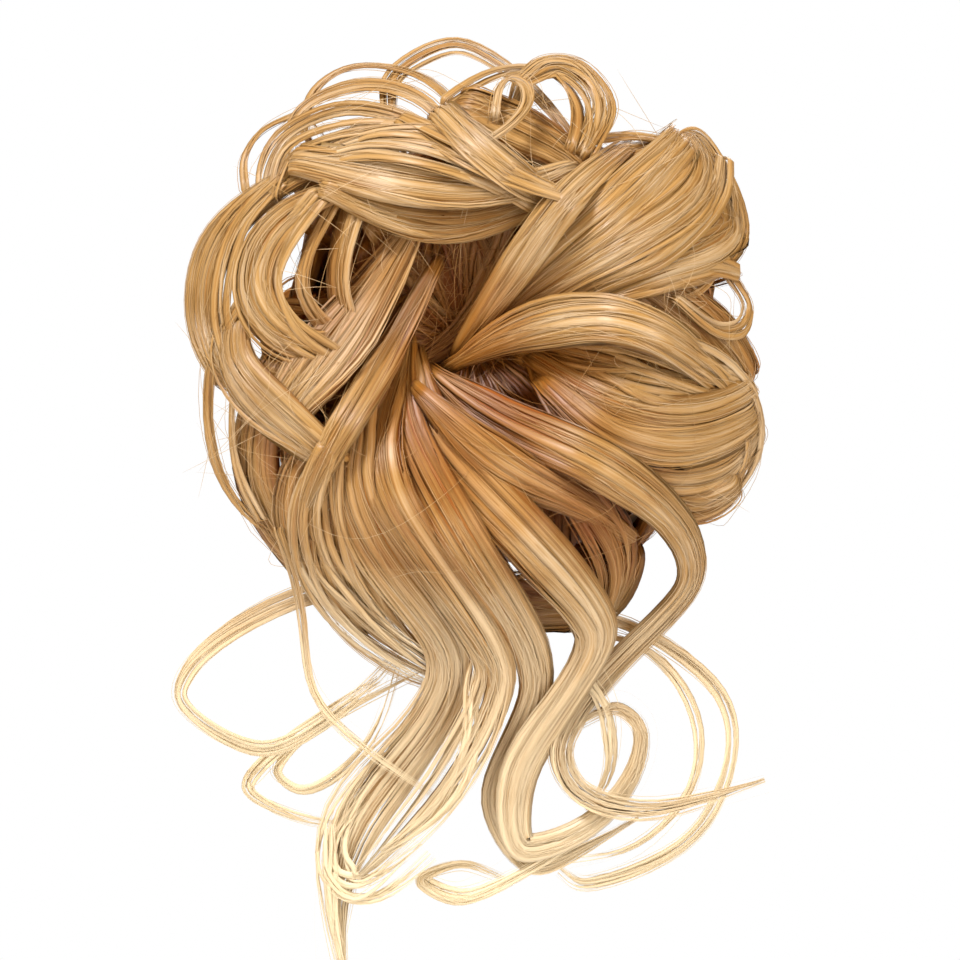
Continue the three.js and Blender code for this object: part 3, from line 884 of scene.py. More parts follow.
class Strands:
    """Closed tubes of hair that are gathered here and become one mesh."""

    def __init__(self):
        self.points = []
        self.faces = []
        self.sizes = []
        self.finishes = []
        self.maps = []
        self.marks = {"tone": [], "tip": [], "lay": [], "lie": [], "deep": []}
        self.count = 0
        self.columns = 0

    def add(self, middles, sides, half_widths, half_depths, corners, tones, tips, finish=0, lie=None):
        """Adds tubes: middles are tube, ring, axis, and sides are the ways that the tubes are broad."""
        tubes, rings, _ = middles.shape
        tangents = unit(np.gradient(middles, axis=1))
        sides = across_only(sides, tangents)
        normals = np.cross(tangents, sides)
        turns = np.arange(corners) / corners * 2 * np.pi
        spread = sides[..., None, :] * (half_widths[..., None] * np.sin(turns))[..., None]
        depth = normals[..., None, :] * (half_depths[..., None] * -np.cos(turns))[..., None]
        index = np.arange(tubes * rings * corners).reshape(tubes, rings, corners) + self.count
        beside = np.roll(index, -1, axis=2)
        walls = np.stack([index[:, :-1], index[:, 1:], beside[:, 1:], beside[:, :-1]], axis=-1).reshape(-1, 4)
        ends = np.concatenate([index[:, 0], index[:, -1, ::-1]])
        steps = np.linalg.norm(np.diff(middles, axis=1), axis=2)
        run = np.concatenate([np.zeros((tubes, 1)), np.cumsum(steps, axis=1)], axis=1)
        numbers = self.columns + np.arange(tubes)[:, None, None] * corners
        girth = (half_widths + half_depths)[..., None] / 2 * turns
        lay = [girth, run[..., None], numbers * MM]
        lay = np.stack([np.broadcast_to(part, index.shape) for part in lay], axis=-1)
        lie = normals if lie is None else lie
        points = (middles[:, :, None, :] + spread + depth).reshape(-1, 3)
        self.points.append(points)
        # painted shade: how deep each point lies in the bun, which darkens its colour
        self.marks["deep"].append(depth_inside(points))
        tone = np.broadcast_to(tones[:, None, None], index.shape).ravel()
        # painted shade: hair below the hub gets a darker tone, for the shade that it lies in
        self.marks["tone"].append(tone - lower_tone * below_hub(points))
        self.marks["tip"].append(np.broadcast_to(tips[:, :, None], index.shape).ravel())
        self.marks["lay"].append(lay.ravel())
        self.marks["lie"].append(np.broadcast_to(lie[:, :, None, :], (*index.shape, 3)).ravel())
        along = np.broadcast_to(np.linspace(0, 1, rings)[None, :, None], index.shape)
        column = np.broadcast_to(numbers + turns / (2 * np.pi) * corners, index.shape)
        self.maps.append(np.stack([column.ravel(), along.ravel()], axis=1))
        for faces in (walls, ends):
            self.faces.append(faces.ravel())
            self.sizes.append(np.full(len(faces), faces.shape[1]))
            self.finishes.append(np.full(len(faces), finish))
        self.count += index.size
        self.columns += tubes * corners

    def mesh(self, name):
        mesh = bpy.data.meshes.new(name)
        points, corners = np.concatenate(self.points), np.concatenate(self.faces)
        sizes = np.concatenate(self.sizes)
        starts = np.append(0, np.cumsum(sizes)[:-1])
        mesh.vertices.add(len(points))
        mesh.loops.add(len(corners))
        mesh.polygons.add(len(sizes))
        mesh.vertices.foreach_set("co", points.ravel())
        mesh.loops.foreach_set("vertex_index", corners)
        mesh.polygons.foreach_set("loop_start", starts)
        mesh.polygons.foreach_set("material_index", np.concatenate(self.finishes))
        mesh.polygons.foreach_set("use_smooth", np.ones(len(sizes), bool))
        for mark, values in self.marks.items():
            kind, field = ("FLOAT_VECTOR", "vector") if mark in ("lay", "lie") else ("FLOAT", "value")
            layer = mesh.attributes.new(mark, kind, "POINT")
            layer.data.foreach_set(field, np.concatenate(values).astype(np.float32))
        uv = np.concatenate(self.maps)[corners]
        uv[:, 0] /= self.columns
        mesh.uv_layers.new(name="OFBake").data.foreach_set("uv", uv.ravel())
        mesh.update(calc_edges=True)
        return mesh


def wander(rng, count, shares, size, slowest=0.5, fastest=1.6):
    """Slow waves along each of a number of strands."""
    waves = np.zeros((count, len(shares)))
    for _ in range(3):
        rate = rng.uniform(slowest, fastest, (count, 1))
        phase = rng.uniform(0, 2 * np.pi, (count, 1))
        waves += np.sin(2 * np.pi * rate * shares + phase)
    return waves * size / 2


def tapered(shares, starts, ends, taper=0.12):
    """1 along a strand, and thinner to its two ends."""
    from_start = np.clip((shares - starts) / taper, 0, 1)
    to_end = np.clip((ends - shares) / taper, 0, 1)
    return np.sqrt(np.maximum(np.minimum(from_start, to_end), 0.02))


def even_round(shares, flatness):
    """Angles at even shares of the way round an ellipse, from its broad side's edge."""
    angles = np.linspace(0, 2 * np.pi, 121)
    middles = (angles[1:] + angles[:-1]) / 2
    lengths = np.hypot(np.sin(middles), flatness * np.cos(middles))
    gone = np.append(0, np.cumsum(lengths))
    whole = np.floor(shares)
    return np.interp(shares - whole, gone / gone[-1], angles) + whole * 2 * np.pi


def lay_round(strands, lock, angle, rise, wide, thick, corners, shade, starts, ends, tilt=0.0, taper=0.12):
    """Bands or strands along a lock, at angles round its section and at a rise above its surface."""
    half_width, half_depth = lock.width / 2, lock.thickness / 2
    u, v = np.cos(angle), np.sin(angle)
    outward = unit(lock.side * (u * half_depth)[..., None] + lock.normal * (v * half_width)[..., None])
    middles = (
        lock.middle
        + lock.side * (u * lock.gather * half_width)[..., None]
        + lock.normal * (v * lock.gather * half_depth)[..., None]
        + outward * (rise * lock.gather)[..., None]
    )
    side = np.cross(outward, lock.tangent) + outward * tilt
    size = tapered(lock.shares, starts, ends, taper) / 2
    strands.add(
        middles, side, wide * size, thick * size, corners, shade,
        np.broadcast_to(lock.hanging, size.shape), lie=outward,
    )


def lay_beside(strands, lock, u, v, out, across, wide, thick, corners, shade, starts, ends, taper=0.12):
    """Bands or strands along a lock, at u half widths and v half depths, and out and across from there."""
    middles = (
        lock.middle
        + lock.side * (u * lock.width / 2 + across)[..., None]
        + lock.normal * (v * lock.thickness / 2 + out)[..., None]
    )
    size = tapered(lock.shares, starts, ends, taper) / 2
    strands.add(
        middles, np.broadcast_to(lock.side, middles.shape), wide * size, thick * size, corners, shade,
        np.broadcast_to(lock.hanging, size.shape), lie=np.broadcast_to(lock.normal, middles.shape),
    )


def painted_round_shade(angle, tone):
    """Tones of strands round a lock, with painted light and shade: lighter along its crown and darker at its
    edges and underneath.
    """
    return np.clip(tone + 0.16 * np.mean(np.sin(angle), axis=1) - 0.06, 0, 1)


def lay_strays(strands, lock, rng, count):
    """Single fine hairs that leave a lock to one side or the other."""
    shares = lock.shares
    way = rng.uniform(0, 2 * np.pi, (count, 1))
    leaving = np.where(rng.uniform(0, 1, (count, 1)) < 0.5, shares, 1 - shares) ** 1.6
    throw = rng.uniform(1, 9, (count, 1)) * MM * leaving + wander(rng, count, shares, 0.9 * MM)
    lay_beside(
        strands, lock, wander(rng, count, shares, 0.35, 0.3, 0.9), 0.8, np.abs(np.sin(way)) * throw * 0.5,
        np.cos(way) * throw, stray_thickness, stray_thickness, strand_sides, rng.uniform(0.5, 0.9, count),
        rng.uniform(-0.1, 0.35, (count, 1)), rng.uniform(0.65, 1.1, (count, 1)),
    )


def lay_crossing_hairs(strands, lock, rng, count):
    """Short fine hairs that run over a lock's outer side at a small angle to it."""
    parts = np.linspace(0, 1, 9)
    at = rng.uniform(0, 0.75, (count, 1)) + rng.uniform(0.2, 0.45, (count, 1)) * parts
    middle, side, normal, width, thickness, hanging = (
        np.stack([np.interp(at, lock.shares, column) for column in np.atleast_2d(values.T)], axis=-1)
        for values in (lock.middle, lock.side, lock.normal, lock.width, lock.thickness, lock.hanging)
    )
    slant = rng.uniform(-1.3, 1.3, (count, 1)) * (1 - parts) + rng.uniform(-1.3, 1.3, (count, 1)) * parts
    crown = np.sqrt(np.clip(1 - slant**2, 0, 1))[..., None] * thickness / 2
    lift = (rng.uniform(0.5, 1.6, (count, 1)) + wander(rng, count, parts, 0.2, 0.3, 0.8)) * MM
    middles = middle + side * slant[..., None] * width / 2 + normal * (crown + lift[..., None])
    size = stray_thickness / 2 * tapered(parts, np.zeros((count, 1)), np.ones((count, 1)), 0.3)
    strands.add(
        middles, side, size * 1.2, size, strand_sides, rng.uniform(0.5, 0.95, count), hanging[..., 0],
        lie=normal,
    )


def fill_lock(strands, lock, rng, tone=0.0, density=1.0):
    """A lock's core, the bands and strands of hair that cover it, and the wisps and hairs that leave it."""
    shares = lock.shares
    size = core_size * lock.gather / 2
    if lock.tipped:
        size = size * np.clip((1 - shares) / 0.5, 0.02, 1)
    for from_end, sinks in zip((shares, 1 - shares), lock.sinks):
        if sinks:
            size = size * np.clip(0.4 + from_end / 0.2, 0, 1)
    # painted shade: the core, which shows in the gaps between bands and strands, gets a low tone and the
    # finish of hair in shade
    strands.add(
        lock.middle[None], lock.side[None], (lock.width * size)[None], (lock.thickness * size)[None],
        core_sides, np.array([0.35 + tone]), lock.hanging[None], 1,
    )
    flatness = lock.thickness.max() / lock.width.max()
    girth = math.pi * lock.width.max() * math.sqrt((1 + flatness**2) / 2)
    at_start, at_end = lock.sinks

    bands = max(6, round(girth / band_pitch * density))
    where = (np.arange(bands)[:, None] + rng.uniform(-0.35, 0.35, (bands, 1))) / bands
    crossing = rng.normal(0, 0.7 / bands, (bands, 1)) * (2 * shares - 1)
    angle = even_round(where + wander(rng, bands, shares, 0.55 / bands) + crossing, flatness)
    rise = np.clip(rng.uniform(-0.1, 0.3, (bands, 1)) + wander(rng, bands, shares, 0.25), -0.2, 1)
    scale = rng.uniform(0.7, 1.5, (bands, 1)) * (1 + wander(rng, bands, shares, 0.15))
    lay_round(
        strands, lock, angle, rise * MM, band_pitch / density * band_overlap * scale,
        band_thickness * scale**0.5, band_sides,
        painted_round_shade(angle, 0.48 + tone + rng.normal(0, 0.11, bands)),
        rng.uniform(-0.3, 0.0, (bands, 1)) + at_start * rng.uniform(0.1, 0.45, (bands, 1)),
        rng.uniform(1.0, 1.3, (bands, 1)) - lock.tipped * rng.uniform(0.2, 0.6, (bands, 1))
        - at_end * rng.uniform(0.1, 0.45, (bands, 1)),
        tilt=rng.normal(0, 0.13, (bands, 1, 1)), taper=0.22,
    )

    count = max(8, round(girth / strand_pitch * density))
    outer = 1 if lock.hanging.max() > 0.2 else 0.6
    where = rng.uniform(-0.05, outer - 0.05, (count, 1))
    crossing = rng.normal(0, 0.035, (count, 1)) * (2 * shares - 1)
    angle = even_round(where + wander(rng, count, shares, 0.02) + crossing, flatness)
    rise = (rng.uniform(0.25, 0.95, (count, 1)) + wander(rng, count, shares, 0.3)) * MM
    lay_round(
        strands, lock, angle, rise, strand_thickness * rng.uniform(0.7, 1.3, (count, 1)),
        strand_thickness * 0.6, strand_sides, painted_round_shade(angle, 0.52 + tone + rng.normal(0, 0.11, count)),
        rng.uniform(-0.12, 0.1, (count, 1)) + at_start * rng.uniform(0, 0.3, (count, 1)),
        rng.uniform(0.92, 1.12, (count, 1)) - lock.tipped * rng.uniform(0.1, 0.3, (count, 1))
        - at_end * rng.uniform(0, 0.3, (count, 1)),
    )

    for _ in range(frays_per_lock):
        side = rng.choice((-1, 1))
        leaving = np.clip(shares * rng.uniform(0.8, 1.4) - rng.uniform(0, 0.4), 0, 1)
        if rng.uniform() < 0.5 and not lock.tipped:
            leaving = leaving[::-1]
        u = side * (0.55 + leaving * rng.uniform(0.4, 1.3)) + wander(rng, 1, shares, 0.12)
        lay_wisp(strands, lock, rng, u, 0.8 + leaving * rng.uniform(-0.4, 0.9), tone)
    lay_strays(strands, lock, rng, strays_per_lock)
    lay_crossing_hairs(strands, lock, rng, round(lock.shares.size * hairs_per_ring))


def lay_wisp(strands, lock, rng, u, v, tone=0.0, starts=0.0, ends=1.0, broad=0.0):
    """A thin band of hair along a lock, with single strands beside it."""
    shares = lock.shares
    wide = max(1.2 * MM, broad) * rng.uniform(0.7, 1.3)
    hidden = 0.05 * (lock.hanging[0] <= 0)
    lay_beside(
        strands, lock, u, v, 0.0, 0.0 * shares[None], wide * (0.85 + wander(rng, 1, shares, 0.15)),
        band_thickness * 0.8, band_sides, np.clip(0.52 + tone + rng.normal(0, 0.1, 1), 0, 1),
        np.array([[starts]]) - hidden, np.array([[ends]]), taper=0.25,
    )
    count = rng.integers(3, 6)
    lay_beside(
        strands, lock, u, v, wander(rng, count, shares, 0.5 * MM), wander(rng, count, shares, 1.1 * MM),
        strand_thickness, strand_thickness * 0.6, strand_sides,
        np.clip(0.55 + tone + rng.normal(0, 0.08, count), 0, 1),
        starts + rng.uniform(-0.1, 0.05, (count, 1)), ends + rng.uniform(-0.1, 0.06, (count, 1)),
    )


def fill_open_lock(strands, lock, rng, bundles, tone=0.04, openness=0.9, strays=2):
    """A thin lock: wisps that part and meet again, with air between them."""
    # the pale tip colour, partly painted light shining through the hair, comes on twice as fast in a thin
    # lock
    lock.hanging = np.clip(lock.hanging * 2, 0, 1)
    for bundle in range(bundles):
        across = (bundle + 0.5) / bundles * 2 - 1
        u = (across + wander(rng, 1, lock.shares, 0.35)) * openness
        lay_wisp(
            strands, lock, rng, u, wander(rng, 1, lock.shares, 0.6), tone + rng.normal(0, 0.05),
            rng.uniform(0, 0.05), 1 - rng.uniform(0.02, 0.12), 1.7 * lock.width.max() / bundles,
        )
    lay_strays(strands, lock, rng, strays)


def smooth_mesh(shape, name):
    """A shape's mesh, with its faces outwards and smooth."""
    bmesh.ops.recalc_face_normals(shape, faces=shape.faces)
    for face in shape.faces:
        face.smooth = True
    mesh = bpy.data.meshes.new(name)
    shape.to_mesh(mesh)
    shape.free()
    return mesh


def hair_piece(strands, name, replaced=()):
    piece = bpy.data.objects.new(name, strands.mesh(name))
    bpy.context.scene.collection.objects.link(piece)
    for finish in (hair, hair_in_shade, thread):
        piece.data.materials.append(finish)
    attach(piece, "root")
    if replaced:
        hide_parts(*replaced)


def mass_radius(angle, spread, out):
    """How far from the axis the mass is, with its ridges, where out is a share of the bun's depth."""
    ridge = mass_ridge * spread * np.cos(mass_ridge_count * (angle + 2 * out))
    return seat_inside + (mass_rim(angle) - seat_inside) * spread + ridge


def mass_section():
    """The mass's section at its right, from the axis at its front round to the axis at its back."""
    corners = [(0, pocket_depth + pocket_roof)]
    for row in mass_rows:
        corners.append((mass_radius(0, row["spread"], row["out"]), row["out"] * bun_depth))
    corners.append((seat_inside, mass_back * bun_depth))
    corners.append((seat_inside, weft_front + gap))
    corners.append((tie_inside, weft_front + gap))
    corners.append((tie_inside, pocket_wall * pocket_depth))
    corners.append((pocket_floor * tie_inside, pocket_bend * pocket_depth))
    corners.append((0, pocket_depth))
    return corners


def mass_core():
    """The closed mass that the strands lie on, spun round the tie's axis and leaned to one side."""
    shape = bmesh.new()
    verts = [shape.verts.new((radius, -out, 0)) for radius, out in mass_section()]
    edges = [shape.edges.new(pair) for pair in zip(verts, verts[1:])]
    bmesh.ops.spin(
        shape, geom=verts + edges, axis=(0, 1, 0), cent=(0, 0, 0), angle=2 * math.pi, steps=mass_steps,
        use_merge=True,
    )
    bmesh.ops.remove_doubles(shape, verts=shape.verts, dist=weld)
    rim = mass_rim(0)
    for vert in shape.verts:
        radius = math.hypot(vert.co.x, vert.co.z)
        if radius <= seat_inside + weld:
            continue
        angle = math.atan2(vert.co.z, vert.co.x)
        spread = (radius - seat_inside) / (rim - seat_inside)
        moved = mass_radius(angle, spread, -vert.co.y / bun_depth)
        vert.co.x, vert.co.z = moved * math.cos(angle), moved * math.sin(angle)
    mesh = smooth_mesh(shape, "hair_mass_core")
    points = np.zeros(len(mesh.vertices) * 3)
    mesh.vertices.foreach_get("co", points)
    points = points.reshape(-1, 3)
    angle = np.arctan2(points[:, 2], points[:, 0]) + points[:, 1] / bun_depth
    lay = np.stack([angle * mass_reach, points[:, 1], 0 * angle], axis=1)
    # painted shade: the mass core has a low tone, and its depth in the bun darkens it further
    marks = {"tone": np.full(len(points), 0.3), "tip": 0 * angle, "deep": depth_inside(points), "lay": lay}
    for mark, values in marks.items():
        kind, field = ("FLOAT_VECTOR", "vector") if mark == "lay" else ("FLOAT", "value")
        mesh.attributes.new(mark, kind, "POINT").data.foreach_set(field, values.astype(np.float32).ravel())
    return mesh


def mass_strands(strands, rng, count, swirl, wide, thick, corners):
    """Hair that swirls over the mass, from the weft round its rim into the hollow at its front."""
    rows = mass_rows[::-1]
    shares = np.linspace(0, 1, mass_strand_rings)
    spread = spread_along([0] + [row["spread"] for row in rows] + [0, 0, 0], shares)
    hollow = spread_along([1] * (len(rows) + 1) + hollow_spans, shares)
    out = spread_along([mass_back] + [row["out"] for row in rows] + hollow_outs, shares)
    start = rng.uniform(0, 2 * np.pi, (count, 1))
    angle = start + swirl * shares + wander(rng, count, shares, 0.12)
    rise = np.clip(rng.uniform(0.1, 2, (count, 1)) + wander(rng, count, shares, 0.8), 0.1, 3) * MM
    radius = mass_radius(angle, spread, out) * hollow
    surface = round_axis(radius, np.broadcast_to(out * bun_depth, radius.shape), angle)
    normal = unit(facing_round(surface.reshape(-1, 3))).reshape(surface.shape)
    normal = unit(normal + np.array([0, -hollow_facing, 0]) * (1 - hollow)[:, None])
    middles = surface + normal * rise[..., None]
    size = tapered(shares, np.zeros((count, 1)), np.ones((count, 1)))
    size = size * np.clip(radius / seat_inside, 0.3, 1) / 2
    # painted shade: the strands over the mass get a low tone, darker than the locks over them
    strands.add(
        middles, np.cross(normal, unit(np.gradient(middles, axis=1))), size * wide, size * thick, corners,
        np.clip(rng.normal(0.26, 0.13, count), 0, 1), np.zeros(size.shape), lie=normal,
    )


def ruched_tie():
    """The covered elastic, gathered all the way round."""
    shape = bmesh.new()
    radius = tie_depth / 2
    middle = tie_outside - radius
    circle = bmesh.ops.create_circle(shape, segments=tie_corners, radius=radius)["verts"]
    bmesh.ops.translate(shape, verts=circle, vec=(middle, -radius, 0))
    bmesh.ops.spin(
        shape, geom=shape.verts[:] + shape.edges[:], axis=(0, 1, 0), cent=(0, 0, 0), angle=2 * math.pi,
        steps=gather_count * steps_per_gather, use_merge=True,
    )
    for vert in shape.verts:
        angle = math.atan2(vert.co.z, vert.co.x)
        centre = Vector((middle * math.cos(angle), -radius, middle * math.sin(angle)))
        round_cord = math.atan2(vert.co.y + radius, math.hypot(vert.co.x, vert.co.z) - middle)
        fold = math.cos(gather_count * angle + gather_wander * math.sin(2 * round_cord + 5 * angle))
        vert.co = centre + (vert.co - centre) * (1 - gather_depth * (1 - fold) / 2)
    piece = bpy.data.objects.new("ruched_tie", smooth_mesh(shape, "ruched_tie"))
    bpy.context.scene.collection.objects.link(piece)
    piece.data.materials.append(tie_cloth)
    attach(piece, "root")
    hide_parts("elastic_tie")


def sewn_weft(rng):
    """The band of sewn hair ends, under short strands that are laid over it and rows of thread."""
    inside = tie_outside + gap
    half_width, half_depth = (weft_outside - inside) / 2, (weft_front - gap) / 2
    middle, out = (weft_outside + inside) / 2, (weft_front + gap) / 2
    strands = Strands()

    def over(angle, turn, rise):
        radius = middle + (half_width + rise) * np.cos(turn)
        place = round_axis(radius, out - (half_depth + rise) * np.sin(turn), angle)
        normal = round_axis(np.cos(turn), -np.sin(turn), angle)
        return place, unit(normal)

    rings = np.linspace(0, 2 * np.pi, 121)[None]
    ones = np.ones_like(rings)
    # painted shade: the band under the weft's strands gets a low tone and the finish of hair in shade
    strands.add(
        round_axis(ones * middle, ones * out, rings), round_axis(ones, 0 * ones, rings),
        ones * half_width * 0.9, ones * half_depth * 0.9, 12, np.array([0.3]), 0 * ones, 1,
    )
    count = weft_strand_count
    turn = np.broadcast_to(np.linspace(-0.35 * np.pi, 1.25 * np.pi, 12), (count, 12))
    angle = np.linspace(0, 2 * np.pi, count, endpoint=False)[:, None] + rng.normal(0, 0.006, (count, 1))
    angle = angle + wander(rng, count, np.linspace(0, 1, 12), 0.01)
    place, normal = over(angle, turn, rng.uniform(-0.1, 0.15, (count, 1)) * MM)
    side = np.cross(normal, unit(np.gradient(place, axis=1)))
    size = np.full(turn.shape, weft_strand_thickness / 2)
    strands.add(
        place, side, size, size, strand_sides, np.clip(rng.normal(0.4, 0.15, count), 0, 1),
        np.zeros_like(size), lie=normal,
    )
    for row in stitch_rows:
        stitches = np.linspace(0, 2 * np.pi, stitch_count * 6 + 1)[None]
        zigzag = row + stitch_swing * np.cos(stitch_count * stitches)
        place, normal = over(stitches, zigzag * np.pi, 0.3 * MM)
        side = np.cross(normal, unit(np.gradient(place, axis=1)))
        size = np.full(stitches.shape, thread_thickness / 2)
        strands.add(place, side, size, size, 5, np.array([0.9]), np.zeros_like(size), 2)
    hair_piece(strands, "sewn_weft", ["weft"])


def lay_hair(strands, places, rings, thickness, tone, tip):
    """One fine hair through these places."""
    shares = np.linspace(0, 1, rings)
    middles = along_route(np.array(places), shares)[None]
    faces = facing_out(middles[0])[None]
    size = thickness / 2 * tapered(shares, np.zeros((1, 1)), np.ones((1, 1)))
    strands.add(
        middles, np.cross(faces, unit(np.gradient(middles, axis=1))), size, size, strand_sides, tone,
        np.full(size.shape, tip), lie=faces,
    )


def stray_hairs(rng):
    """Fine single hairs that have come loose over the bun and round its edge."""
    strands = Strands()
    for _ in range(stray_count):
        start = rng.uniform(0, 2 * np.pi)
        turn = rng.normal(0, 0.9)
        near, far = rng.uniform(0.1, 0.9), rng.uniform(0.4, 0.98)
        places = []
        for share in np.linspace(0, 1, 4):
            angle = start + turn * share
            from_middle = (near + (far - near) * share) * (1 + 0.08 * rng.normal())
            out = np.interp(
                from_middle, [row["at"] for row in dome_rows], [row["out"] for row in dome_rows]
            ) * bun_depth
            rise = rng.uniform(-1, 2.5) * layer_rise * math.sin(math.pi * share)
            out = min(out + rise, bun_depth + 2 * layer_rise)
            places.append(round_axis(from_middle * reach, out, angle))
        lay_hair(strands, places, stray_rings, stray_thickness, rng.uniform(0.4, 0.8, 1), 0.15)
    hair_piece(strands, "stray_hairs")


def hollow_hairs(rng):
    """Single hairs that cross in all directions over the hollow at the bun's middle."""
    strands = Strands()
    for _ in range(hollow_hair_count):
        middle = np.array([rng.uniform(-30, 16), rng.uniform(-6, 40)])
        way = rng.normal(math.radians(62), 0.75)
        half = rng.uniform(8, 22)
        bow = rng.normal(0, 6)
        along = np.array([math.cos(way), math.sin(way)])
        square = np.array([-along[1], along[0]])
        route = [middle + along * half * step + square * bow * (1 - step**2) for step in (-1, -0.4, 0.3, 1)]
        places = places_of(
            [place[0] for place in route], [place[1] for place in route],
            [rng.uniform(-2.5, 0), rng.uniform(-4, 0.5), rng.uniform(-2.5, 0)], "",
        )
        thickness = stray_thickness * rng.uniform(0.8, 1.4)
        lay_hair(strands, places, hollow_hair_rings, thickness, rng.uniform(0.3, 0.7, 1), 0.0)
    hair_piece(strands, "hollow_hairs")


def new_group(name, inputs, outputs):
    group = bpy.data.node_groups.new(name, "ShaderNodeTree")
    for direction, sockets in (("INPUT", inputs), ("OUTPUT", outputs)):
        for label, kind, value in sockets:
            socket = group.interface.new_socket(label, in_out=direction, socket_type=kind)
            if value is not None:
                socket.default_value = value
    return group


def node(tree, kind, links=(), **settings):
    """A node with these settings, whose inputs are values or other nodes' outputs."""
    made = tree.nodes.new(kind)
    for setting, value in settings.items():
        setattr(made, setting, value)
    for socket, value in dict(links).items():
        if isinstance(value, bpy.types.NodeSocket):
            tree.links.new(value, made.inputs[socket])
        else:
            made.inputs[socket].default_value = value
    return made


def strand_shade_group():
    """Colour and normal of hair: dark in its shade, golden in its body, pale in its light and at its tips."""
    colour, number = "NodeSocketColor", "NodeSocketFloat"
    group = new_group(
        "strand_shade",
        [
            ("Shade Colour", colour, None),
            ("Body Colour", colour, None),
            ("Light Colour", colour, None),
            ("Tip Colour", colour, None),
            ("Painted Shade Tint", colour, None),
            ("Streak Strength", number, 0.3),
            ("Patch Strength", number, 0.3),
            ("Smoothing", number, 0.5),
            ("Groove Depth", number, 0.3),
        ],
        [("Color", colour, None), ("Normal", "NodeSocketVector", None)],
    )
    given = group.nodes.new("NodeGroupInput").outputs
    tone = node(group, "ShaderNodeAttribute", attribute_name="tone").outputs["Fac"]
    tip = node(group, "ShaderNodeAttribute", attribute_name="tip").outputs["Fac"]
    lay = node(group, "ShaderNodeAttribute", attribute_name="lay").outputs["Vector"]
    lie = node(group, "ShaderNodeAttribute", attribute_name="lie").outputs["Vector"]
    fibres = node(group, "ShaderNodeVectorMath", {0: lay, 1: (1900, 24, 900)}, operation="MULTIPLY")
    streaks = node(
        group, "ShaderNodeTexNoise",
        {"Vector": fibres.outputs[0], "Scale": 1.0, "Detail": 3.0, "Roughness": 0.6},
    ).outputs["Fac"]
    place = node(group, "ShaderNodeTexCoord").outputs["Object"]
    patches = node(
        group, "ShaderNodeTexNoise", {"Vector": place, "Scale": 70.0, "Detail": 1.0}
    ).outputs["Fac"]
    share = node(group, "ShaderNodeMath", {0: tip, 1: 0.32, 2: tone}, operation="MULTIPLY_ADD").outputs[0]
    for pattern, strength in ((streaks, "Streak Strength"), (patches, "Patch Strength")):
        centred = node(group, "ShaderNodeMath", {0: pattern, 1: 0.5}, operation="SUBTRACT")
        share = node(
            group, "ShaderNodeMath", {0: centred.outputs[0], 1: given[strength], 2: share},
            operation="MULTIPLY_ADD",
        ).outputs[0]
    low = node(group, "ShaderNodeMapRange", {"Value": share, "From Min": 0.0, "From Max": 0.5}).outputs[0]
    high = node(group, "ShaderNodeMapRange", {"Value": share, "From Min": 0.5, "From Max": 1.0}).outputs[0]
    dark = mixed(group, low, given["Shade Colour"], given["Body Colour"])
    light = mixed(group, high, dark, given["Light Colour"])
    # pale tips: partly the hair's own colour, partly painted light shining through them, kept mostly to the
    # lighter-toned strands
    lightened = node(
        group, "ShaderNodeMapRange", {"Value": share, "From Min": 0.3, "From Max": 0.7, "To Min": 0.12}
    ).outputs[0]
    tip = node(group, "ShaderNodeMath", {0: tip, 1: lightened}, operation="MULTIPLY").outputs[0]
    tipped = mixed(group, tip, light, given["Tip Colour"])
    # painted shade: the colour is multiplied towards the painted shade tint where the hair lies deep in the
    # bun
    deep = node(group, "ShaderNodeAttribute", attribute_name="deep").outputs["Fac"]
    shaded = node(
        group, "ShaderNodeMix", {0: deep, 6: tipped, 7: given["Painted Shade Tint"]}, data_type="RGBA",
        blend_type="MULTIPLY",
    ).outputs[2]
    own = node(group, "ShaderNodeNewGeometry").outputs["Normal"]
    blend = node(group, "ShaderNodeMix", {0: given["Smoothing"], 4: own, 5: lie}, data_type="VECTOR")
    smooth = node(group, "ShaderNodeVectorMath", {0: blend.outputs[1]}, operation="NORMALIZE")
    grooves = node(
        group, "ShaderNodeBump",
        {
            "Height": streaks, "Strength": given["Groove Depth"], "Distance": 0.2 * MM,
            "Normal": smooth.outputs[0],
        },
    )
    put = node(group, "NodeGroupOutput")
    group.links.new(shaded, put.inputs["Color"])
    group.links.new(grooves.outputs["Normal"], put.inputs["Normal"])
    return group


def mixed(tree, share, first, second):
    """The colour between two colours."""
    return node(tree, "ShaderNodeMix", {0: share, 6: first, 7: second}, data_type="RGBA").outputs[2]


def hair_finish(name, shade, body, light, tip, roughness, gloss, satin, **strengths):
    """Hair in these four colours, with satin as how far its gloss is drawn out across the strands."""
    material = bpy.data.materials.new(name)
    material.use_nodes = True
    tree = material.node_tree
    tree.nodes.clear()
    shaded = node(tree, "ShaderNodeGroup", node_tree=strand_shade)
    for label, value in (("Shade", shade), ("Body", body), ("Light", light), ("Tip", tip)):
        shaded.inputs[f"{label} Colour"].default_value = (*value, 1)
    shaded.inputs["Painted Shade Tint"].default_value = (*painted_shade_tint, 1)
    for label, value in strengths.items():
        shaded.inputs[label.replace("_", " ").title()].default_value = value
    surface = node(
        tree, "ShaderNodeBsdfPrincipled",
        {
            "Base Color": shaded.outputs["Color"], "Normal": shaded.outputs["Normal"],
            "Roughness": roughness, "Specular IOR Level": gloss, "Anisotropic": satin,
        },
    )
    if satin:
        across = node(tree, "ShaderNodeTangent", direction_type="UV_MAP", uv_map="OFBake").outputs[0]
        tree.links.new(across, surface.inputs["Tangent"])
    node(tree, "ShaderNodeOutputMaterial", {"Surface": surface.outputs[0]})
    return material


